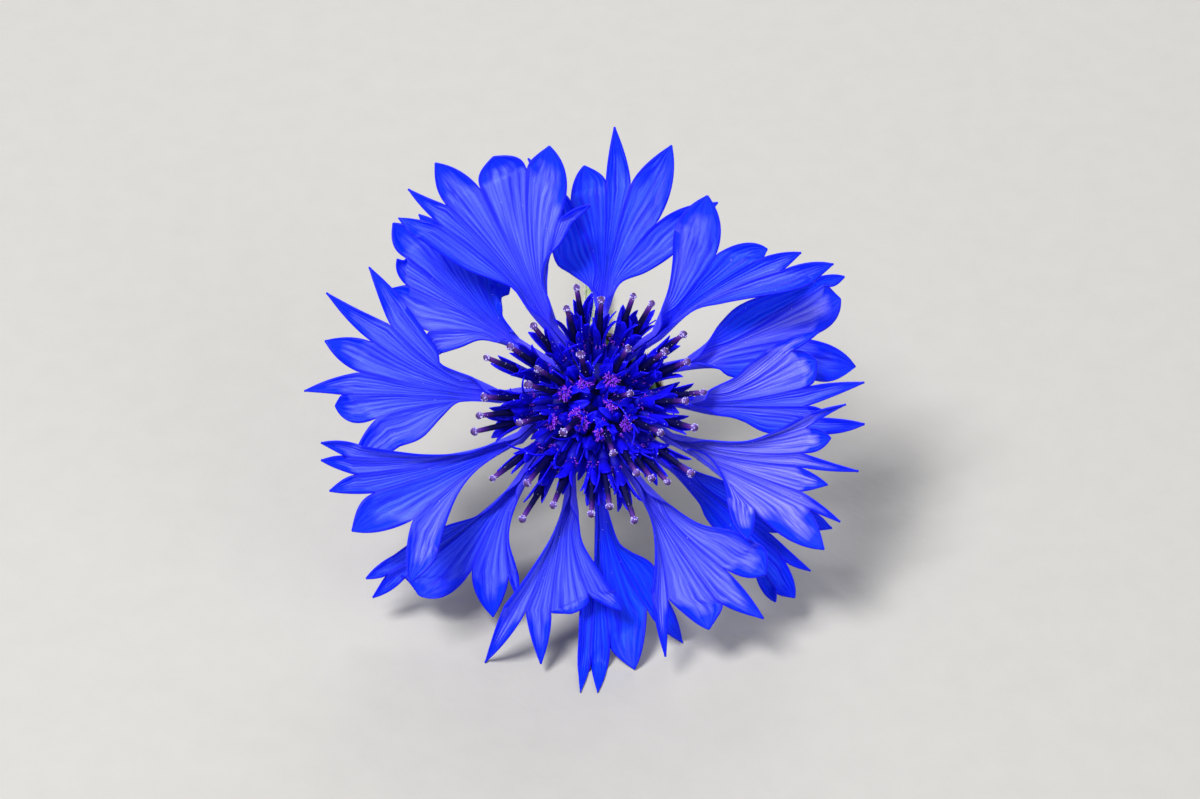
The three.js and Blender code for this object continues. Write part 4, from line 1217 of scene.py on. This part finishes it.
# %% Pollen
GRAIN_RADIUS = 0.055
GRAINS_ON_STRAPS = 420
GRAINS_ON_PETALS = 70
dust = Bunch()
for _ in range(GRAINS_ON_STRAPS):
    lobe = straps.points[rng.integers(len(straps.points))]
    pollen_places.append((lobe[rng.integers(len(lobe))] + UP * 0.08, 0.75))
for _ in range(GRAINS_ON_PETALS):
    pollen_places.append((petal_dust[rng.integers(len(petal_dust))] + UP * 0.12, 0.7))
for place, size in pollen_places:
    dust.add(place + corners * GRAIN_RADIUS * size * rng.uniform(0.6, 1.2), grain_faces)
dust.make("pollen", [POLLEN])
print("grains of pollen:", len(dust.points))

# %% [markdown]
# ## The involucre's finish
# The green cup under the head is made of scale leaves that overlap like roof tiles. Each is a
# stiff, ribbed shield of tough green skin, flushed purple toward a dark, papery border, which is
# cut into fine dry teeth. The border mark drives the change from leaf to paper, and a sine wave
# across the scale draws its ribs.

# %% Involucre materials
LEAF_MOTTLE = 0.9 * MM
RIB_WAVES = 7 * math.pi


def scale_leaf():
    """Green leaf skin of IOR 1.42 that darkens to a brown papery border."""
    material, tree, shader = new_material(
        "scale_leaf", Roughness=0.55, IOR=1.42, Sheen_Weight=0.2, Sheen_Tint=linear("#d8e4c8")
    )
    border = add_node(tree, "Attribute", output="Fac", attribute_name="border")
    across = add_node(tree, "Attribute", output="Fac", attribute_name="across")
    place = add_node(tree, "TexCoord", output="Object")
    mottle = add_node(tree, "TexNoise", {"Vector": place, "Scale": 1 / LEAF_MOTTLE, "Detail": 4.0})
    wave = add_node(tree, "Math", {0: across, 1: RIB_WAVES}, operation="MULTIPLY")
    wave = add_node(tree, "Math", {0: wave}, operation="SINE")
    rib = add_node(tree, "MapRange", {"Value": wave, "From Min": 0.5, "To Max": 0.35})
    young, old, light = linear("#6f8f42"), linear("#4d6b33"), linear("#86a058")
    colour = add_node(tree, "Mix", {0: mottle, 6: young, 7: old}, 2, data_type="RGBA")
    colour = add_node(tree, "Mix", {0: rib, 6: colour, 7: light}, 2, data_type="RGBA")
    purple, brown = linear("#54303c"), linear("#24130f")
    flush = add_node(tree, "MapRange", {"Value": border, "From Min": 0.45, "From Max": 0.75})
    colour = add_node(tree, "Mix", {0: flush, 6: colour, 7: purple}, 2, data_type="RGBA")
    paper = add_node(tree, "MapRange", {"Value": border, "From Min": 0.75, "From Max": 0.9})
    colour = add_node(tree, "Mix", {0: paper, 6: colour, 7: brown}, 2, data_type="RGBA")
    finish_material(tree, shader, colour, wave, 0.03)
    return material


SCALE_LEAF = scale_leaf()
# dry, papery teeth: brown at the root, bleached silver at the point
SCALE_TOOTH = hair_finish("scale_tooth", "#3a2018", "#c8b098", 0.01, Roughness=0.45)
print("mottling of the scales, mm:", round(LEAF_MOTTLE / MM, 2))

# %% [markdown]
# ## The cup
# Under its scales the involucre is a plain egg-shaped cup with a hollow for the florets' roots.
# Nothing suits such a form better than a turned profile: pairs of radius and height, spun round
# the axis. The outer curve is kept, because the scales have to lie on it.

# %% Cup
CUP_SIDES = 72
CUP_BOTTOM = [0.05, 0]
CUP_OUTSIDE = [[1.5, 0], [3.3, 1.2], [4.8, 3.2], [5.4, 5.8], [5.3, 8.4], [5.0, 11], [5.2, 14]]
CUP_INSIDE = [[4.6, 14], [4.5, 11], [4.5, 5.7], [3.8, CUP_FLOOR], [0.05, CUP_FLOOR]]


def turned(profile, columns):
    """Rows of points round the head's axis, one for each pair of radius and depth."""
    turn = np.linspace(0, 2 * math.pi, columns, endpoint=False)
    rings = []
    for r, z in profile:
        rings.append(np.column_stack([r * np.cos(turn), r * np.sin(turn), np.full(columns, z)]))
    return np.vstack(rings), grid_faces(len(profile), columns, closed=True)


outline = smooth_line(CUP_OUTSIDE, 40)
cup_points, cup_faces = turned([CUP_BOTTOM, *outline, *CUP_INSIDE], CUP_SIDES)
plain = np.zeros(len(cup_points))
marks = {"across": plain, "border": plain}
add_piece("involucre_cup", cup_points, cup_faces, [SCALE_LEAF], "involucre", marks)


def cup_radius(z):
    """The cup's outer radius at a height above the head's foot."""
    return np.interp(z, outline[:, 1], outline[:, 0])


print("the cup is", round(2 * cup_radius(CUP_HEIGHT / 2), 1), "mm across at half its height")

# %% [markdown]
# ## Scales and their teeth
# Five rows of scales climb the cup, each row turned so that its scales cover the gaps below. A
# scale is a small grid, bent round the cup and lifted toward its tip. Its teeth are separate
# tapered rods set square to its border, for a grid fine enough to hold them would be very heavy.

# %% Shape of a scale
SCALE_LENGTH = 4.4
SCALE_WIDTH = 3.3
SCALE_LIFT = 0.42
SCALE_GAP = 0.1
SCALE_KEEL = 0.12
scales = Bunch("across", "border")


def on_cup(angle, foot, sideways, share):
    """A point on a scale: sideways is -1 to 1 across it, share 0 to 1 along it."""
    z = foot + share * SCALE_LENGTH
    half = SCALE_WIDTH / 2 * (0.72 + 0.6 * share) * (1 - share**2.8) ** 0.75
    radius = cup_radius(z) + SCALE_GAP + SCALE_LIFT * share - SCALE_KEEL * sideways**2
    turned_by = angle + sideways * half / radius
    return np.stack([radius * np.cos(turned_by), radius * np.sin(turned_by), z + 0 * radius], -1)


print("a scale is", SCALE_LENGTH, "by", SCALE_WIDTH, "mm")

# %% Fringe of teeth
FRINGE_SHARE = 0.65
TEETH_OF_SCALE = 32
TOOTH_LENGTH = 0.62
TOOTH_RADII = [0.075, 0.055, 0.01]
TOOTH_SIDES = 4
BORDER_POINTS = 81
teeth = Bunch("along")


def fringe(angle, foot):
    """Teeth evenly spaced round a scale's border, each square to it and lifted a little."""
    round_tip = np.linspace(-1, 1, BORDER_POINTS)
    border = on_cup(angle, foot, np.sign(round_tip), 1 - FRINGE_SHARE * round_tip**2)
    border = respace(border, TEETH_OF_SCALE)
    radial = unit(border * [1, 1, 0])
    outward = np.cross(radial, unit(np.gradient(border, axis=0)))
    for root, away, up in zip(border, outward, radial):
        way = unit(away + 0.3 * up + [0, 0, 0.3] + rng.normal(0, 0.14, 3))
        length = TOOTH_LENGTH * rng.uniform(0.7, 1.1)
        root = root + 0.05 * up - 0.1 * away
        line = [root, root + way * length * 0.5, root + way * length + 0.08 * up]
        teeth.add_rod(line, TOOTH_RADII, TOOTH_SIDES)


print("teeth round a scale:", TEETH_OF_SCALE)

# %% Rows of scales
SCALES_IN_ROW = [8, 9, 10, 10, 11]
SCALE_ROWS = 14
SCALE_COLUMNS = 11
SCALE_THICKNESS = 0.2
FIRST_FOOT = 0.15
TOP_MARGIN = 0.2
TURN_OF_ROW = 0.31


def involucre_scale(foot, angle):
    """One shield-shaped scale and its fringe of teeth."""
    along, over = np.linspace(0, 0.985, SCALE_ROWS), np.linspace(-1, 1, SCALE_COLUMNS)
    share, sideways = np.meshgrid(along, over, indexing="ij")
    grid = on_cup(angle, foot, sideways, share).reshape(-1, 3)
    border = np.maximum(np.abs(sideways) * (0.6 + 0.4 * share), share).ravel()
    faces = grid_faces(SCALE_ROWS, SCALE_COLUMNS)
    scales.add(grid, faces, across=sideways.ravel(), border=border)
    fringe(angle, foot)


row_step = (CUP_HEIGHT - SCALE_LENGTH - TOP_MARGIN) / (len(SCALES_IN_ROW) - 1)
for row, count in enumerate(SCALES_IN_ROW):
    for i in range(count):
        angle = 2 * math.pi * (i + row * 0.5) / count + row * TURN_OF_ROW
        involucre_scale(FIRST_FOOT + row * row_step, angle)
thicken(scales.make("involucre_scales", [SCALE_LEAF]), SCALE_THICKNESS)
teeth.make("involucre_teeth", [SCALE_TOOTH])
print("scales:", sum(SCALES_IN_ROW), "faces in their teeth:", pieces_made["involucre_teeth"])

# %% [markdown]
# ## The stem's finish
# A cornflower's stem is thin, wiry and ridged, and wears a loose grey wool like cobweb. Sheen
# gives the bloom of that wool from afar, and a noise breaks it up. The far end was cut, so it
# shows moist pale pith, a honeycomb of cells, which a Voronoi texture draws. Real cells are finer
# than 0.1 mm, so they are drawn twice as coarse.

# %% Stem materials
WOOL_PATCH = 0.5 * MM
PITH_CELL = 0.2 * MM


def ridged_stem():
    """Grey-green stem skin under cobweb wool: pale on the ridges, darker in the grooves."""
    material, tree, shader = new_material(
        "ridged_stem", Roughness=0.6, IOR=1.42, Sheen_Weight=0.35, Sheen_Tint=linear("#dfe6d8")
    )
    ridge = add_node(tree, "Attribute", output="Fac", attribute_name="ridge")
    place = add_node(tree, "TexCoord", output="Object")
    wool = add_node(tree, "TexNoise", {"Vector": place, "Scale": 1 / WOOL_PATCH, "Detail": 5.0})
    groove, crest, bloom = linear("#4c6236"), linear("#8ba070"), linear("#a9b498")
    colour = add_node(tree, "Mix", {0: ridge, 6: groove, 7: crest}, 2, data_type="RGBA")
    thin = {"Value": wool, "From Min": 0.45, "From Max": 0.7, "To Max": 0.5}
    veil = add_node(tree, "MapRange", thin)
    colour = add_node(tree, "Mix", {0: veil, 6: colour, 7: bloom}, 2, data_type="RGBA")
    finish_material(tree, shader, colour, wool, 0.04)
    return material


def stem_pith():
    """The cut end: moist pale pith with rings of darker vessels."""
    material, tree, shader = new_material(
        "stem_pith", Roughness=0.5, Subsurface_Weight=0.2, Subsurface_Scale=0.3 * MM
    )
    ridge = add_node(tree, "Attribute", output="Fac", attribute_name="ridge")
    place = add_node(tree, "TexCoord", output="Object")
    cells = add_node(tree, "TexVoronoi", {"Vector": place, "Scale": 1 / PITH_CELL})
    pale, vessel = linear("#cfd8a8"), linear("#7d9450")
    colour = add_node(tree, "Mix", {0: ridge, 6: pale, 7: vessel}, 2, data_type="RGBA")
    finish_material(tree, shader, colour, cells, 0.05)
    return material


print("pith cells, mm:", round(PITH_CELL / MM, 2))

# %% [markdown]
# ## The stem
# The stem goes down the head's axis, bends round and lies along the table. One sweep makes it,
# with eight ridges in its outline. Rings that shrink toward the middle close the cut end, and a
# second material on their faces turns them into pith.

# %% Line of the stem
STEM_NECK_RADIUS = 1.5
STEM_LYING_LENGTH = 24.0
STEM_IN_CUP = 0.15
NECK_POINTS, BEND_POINTS, LYING_POINTS = 8, 24, 60


def stem_path():
    """Down the head's axis from under the cup, round a bend, then along the table."""
    neck_end = -PIECE_GAP - STEM_NECK_LENGTH
    neck = [[0, 0, z] for z in np.linspace(STEM_IN_CUP, neck_end, NECK_POINTS)]
    bend = []
    for a in np.linspace(0, FACE_TILT, BEND_POINTS)[1:]:
        y = STEM_BEND_RADIUS * (1 - math.cos(a))
        bend.append([0, y, neck_end - STEM_BEND_RADIUS * math.sin(a)])
    reach = np.linspace(0, STEM_LYING_LENGTH, LYING_POINTS)[1:]
    lying = np.array(bend[-1]) + np.outer(reach, [0, RISE, -LEAN])
    return np.array([*neck, *bend, *lying])


stem_line = stem_path()
stem_reach = np.r_[0, np.cumsum(np.linalg.norm(np.diff(stem_line, axis=0), axis=1))]
neck_share = smoothstep(1 - stem_reach / STEM_NECK_LENGTH)
stem_radii = STEM_RADIUS + (STEM_NECK_RADIUS - STEM_RADIUS) * neck_share
print("the stem is", round(stem_reach[-1], 1), "mm long")

# %% Stem
STEM_RIBS = 8
RIB_DEPTH = 0.12
STEM_SIDES = 64
PITH_RINGS = {0.94: 0.0, 0.86: 1.0, 0.6: 0.0, 0.3: 1.0, 0.08: 0.0}  # share of the rim: vessels
PITH_DISH = 0.1


def stem(path, radii):
    """The ridged skin, and rings of pith that close its cut end with a shallow dish."""
    points, faces = sweep(path, radii, STEM_SIDES, STEM_RIBS, RIB_DEPTH)
    turn = np.linspace(0, 2 * math.pi, STEM_SIDES, endpoint=False)
    ridge = np.tile(0.5 + 0.5 * np.cos(STEM_RIBS * turn), len(path))
    faces = faces[:-1]
    kinds = [0] * len(faces)
    rim = points[-STEM_SIDES:]
    for ring, vessels in PITH_RINGS.items():
        first = len(points) - STEM_SIDES
        dish = unit(path[-1] - path[-2]) * PITH_DISH * (ring - 1)
        points = np.vstack([points, path[-1] + (rim - path[-1]) * ring + dish])
        faces += grid_faces(2, STEM_SIDES, first, closed=True)
        kinds += [1] * STEM_SIDES
        ridge = np.r_[ridge, np.full(STEM_SIDES, vessels)]
    faces.append(list(range(len(points) - STEM_SIDES, len(points))))
    kinds.append(1)
    materials = [ridged_stem(), stem_pith()]
    add_piece("stem_skin", points, faces, materials, "stem", {"ridge": ridge}, kinds)


stem(stem_line, stem_radii)
print("faces in the stem:", pieces_made["stem_skin"])

# %% [markdown]
# ## Wool on the stem
# Loose white hairs lie along the stem and catch the light at its edges, which no texture can do.
# Each is a thin bent rod of three points, rooted just under the skin. Real hairs are near 0.02 mm
# thick and far more numerous, so these are drawn twice as thick. Any hair that would reach into
# the table is left out.

# %% Wool
HAIR_COUNT = 1500
HAIR_LENGTH = 1.3
WOOL_RADII = [0.022, 0.018, 0.006]
WOOL_SIDES = 3
ROOT_SHARE = 0.93
wool = Bunch("along")


# dull white hairs, with the soft glow of fine fibres against the light
dull = {"Roughness": 0.7, "Sheen_Weight": 0.5}
STEM_WOOL = hair_finish("stem_wool", "#aab49a", "#dfe2d8", 0.01, **dull)
ahead = unit(np.gradient(stem_line, axis=0))
for _ in range(HAIR_COUNT):
    i = rng.integers(2, len(stem_line) - 3)
    away = spoke(ahead[i], rng.uniform(0, 2 * math.pi))
    foot = stem_line[i] + away * stem_radii[i] * ROOT_SHARE
    way = ahead[i] * rng.choice([-1, 1]) + 0.5 * np.cross(ahead[i], away) * rng.normal()
    length = HAIR_LENGTH * rng.uniform(0.5, 1.2)
    middle = foot + way * length * 0.5 + away * 0.16
    end = foot + way * length + away * rng.uniform(0.02, 0.3)
    points, faces = sweep([foot, middle, end], WOOL_RADII, WOOL_SIDES)
    if np.all(points[:, 2] > surface_depth(points[:, 1]) + 0.02):
        wool.add(points, faces, along=np.repeat([0.0, 0.5, 1.0], WOOL_SIDES))
wool.make("stem_wool", [STEM_WOOL])
print("hairs on the stem:", len(wool.points))

# %% [markdown]
# ## Floor
# The flower lies on a wide sheet of matt paper. Its grey is a little darker than it looks,
# because the lights lift it. A trace of fibre in colour and relief keeps it from looking like
# nothing at all. The floor is only the stage.

# %% Studio floor
FLOOR_REACH = 0.6
PAPER_FIBRE = 3 * MM


def studio_floor():
    """A wide plain sheet of matt paper."""
    a, b = -FLOOR_REACH, FLOOR_REACH
    mesh = bpy.data.meshes.new("studio_floor")
    mesh.from_pydata([(a, a, 0), (b, a, 0), (b, b, 0), (a, b, 0)], [], [(0, 1, 2, 3)])
    floor = bpy.data.objects.new("studio_floor", mesh)
    bpy.context.scene.collection.objects.link(floor)
    material, tree, shader = new_material("matt_paper", Roughness=0.9)
    place = add_node(tree, "TexCoord", output="Object")
    fibre = add_node(tree, "TexNoise", {"Vector": place, "Scale": 1 / PAPER_FIBRE, "Detail": 3.0})
    fibre = add_node(tree, "MapRange", {"Value": fibre, "From Min": 0.3, "From Max": 0.7})
    dull, clear = linear("#a3a19d"), linear("#a5a39f")
    paper = add_node(tree, "Mix", {0: fibre, 6: dull, 7: clear}, 2, data_type="RGBA")
    finish_material(tree, shader, paper, fibre, 0.05)
    mesh.materials.append(material)


studio_floor()
print("the floor is", 2 * FLOOR_REACH, "m wide")

# %% [markdown]
# ## Light
# Three large soft boxes and a pale sky keep the shadows gentle, so the petals' own folds make the
# shading. The key light stands high and to the left. The weak fill opens its shadows, and the
# light from behind rims the petals. A distant sun would be simpler, but its shadows are hard.

# %% Lights
DISC_DEPTH = 16.0
AIR_STRENGTH = 0.4
HEAD_CENTRE = Vector(to_world([[0, 0, DISC_DEPTH]])[0])


def soft_light(name, place, size, watts, colour):
    """A square soft box that faces the head."""
    data = bpy.data.lights.new(name, "AREA")
    data.size = size
    data.energy = watts
    data.color = linear(colour)[:3]
    light = bpy.data.objects.new(name, data)
    light.location = HEAD_CENTRE + Vector(place)
    light.rotation_euler = (-Vector(place)).to_track_quat("-Z", "Y").to_euler()
    bpy.context.scene.collection.objects.link(light)


soft_light("key_light", (-0.21, -0.12, 0.46), 0.18, 4.0, "#ffffff")
soft_light("fill_light", (0.30, -0.26, 0.20), 0.3, 0.7, "#f2f5ff")
soft_light("back_light", (0.10, 0.34, 0.20), 0.25, 0.9, "#ffffff")
world = bpy.data.worlds.new("studio_air")
bpy.context.scene.world = world
world.use_nodes = True
background = world.node_tree.nodes["Background"]
background.inputs["Color"].default_value = linear("#eef0f4")
background.inputs["Strength"].default_value = AIR_STRENGTH
print("lights:", [light.name for light in bpy.data.lights])

# %% [markdown]
# ## Camera
# The camera looks straight down the head's axis. A long lens, far back, keeps near and far petals
# in proportion, where a short one would swell the disc. Its distance follows from how wide a
# view it has to take in. The Standard view keeps the petals' strong blue, which a film-like view
# would grey.

# %% Camera
LENS = 100.0
SENSOR = 36.0
VIEW_WIDTH = 97.7
CENTRE_OFFSET = (0.4, 0.3)
distance = VIEW_WIDTH * LENS / SENSOR
aim = np.array([*CENTRE_OFFSET, DISC_DEPTH])
camera_data = bpy.data.cameras.new("camera")
camera_data.lens = LENS
camera_data.sensor_width = SENSOR
camera_data.clip_start = 0.01
camera_data.clip_end = 5
camera = bpy.data.objects.new("camera", camera_data)
camera.location = to_world([aim + UP * distance])[0]
toward = Vector(to_world([aim])[0]) - camera.location
camera.rotation_euler = toward.to_track_quat("-Z", "Y").to_euler()
bpy.context.scene.collection.objects.link(camera)
bpy.context.scene.camera = camera
bpy.context.scene.view_settings.view_transform = "Standard"
print("camera stands", round(distance), "mm from the head")
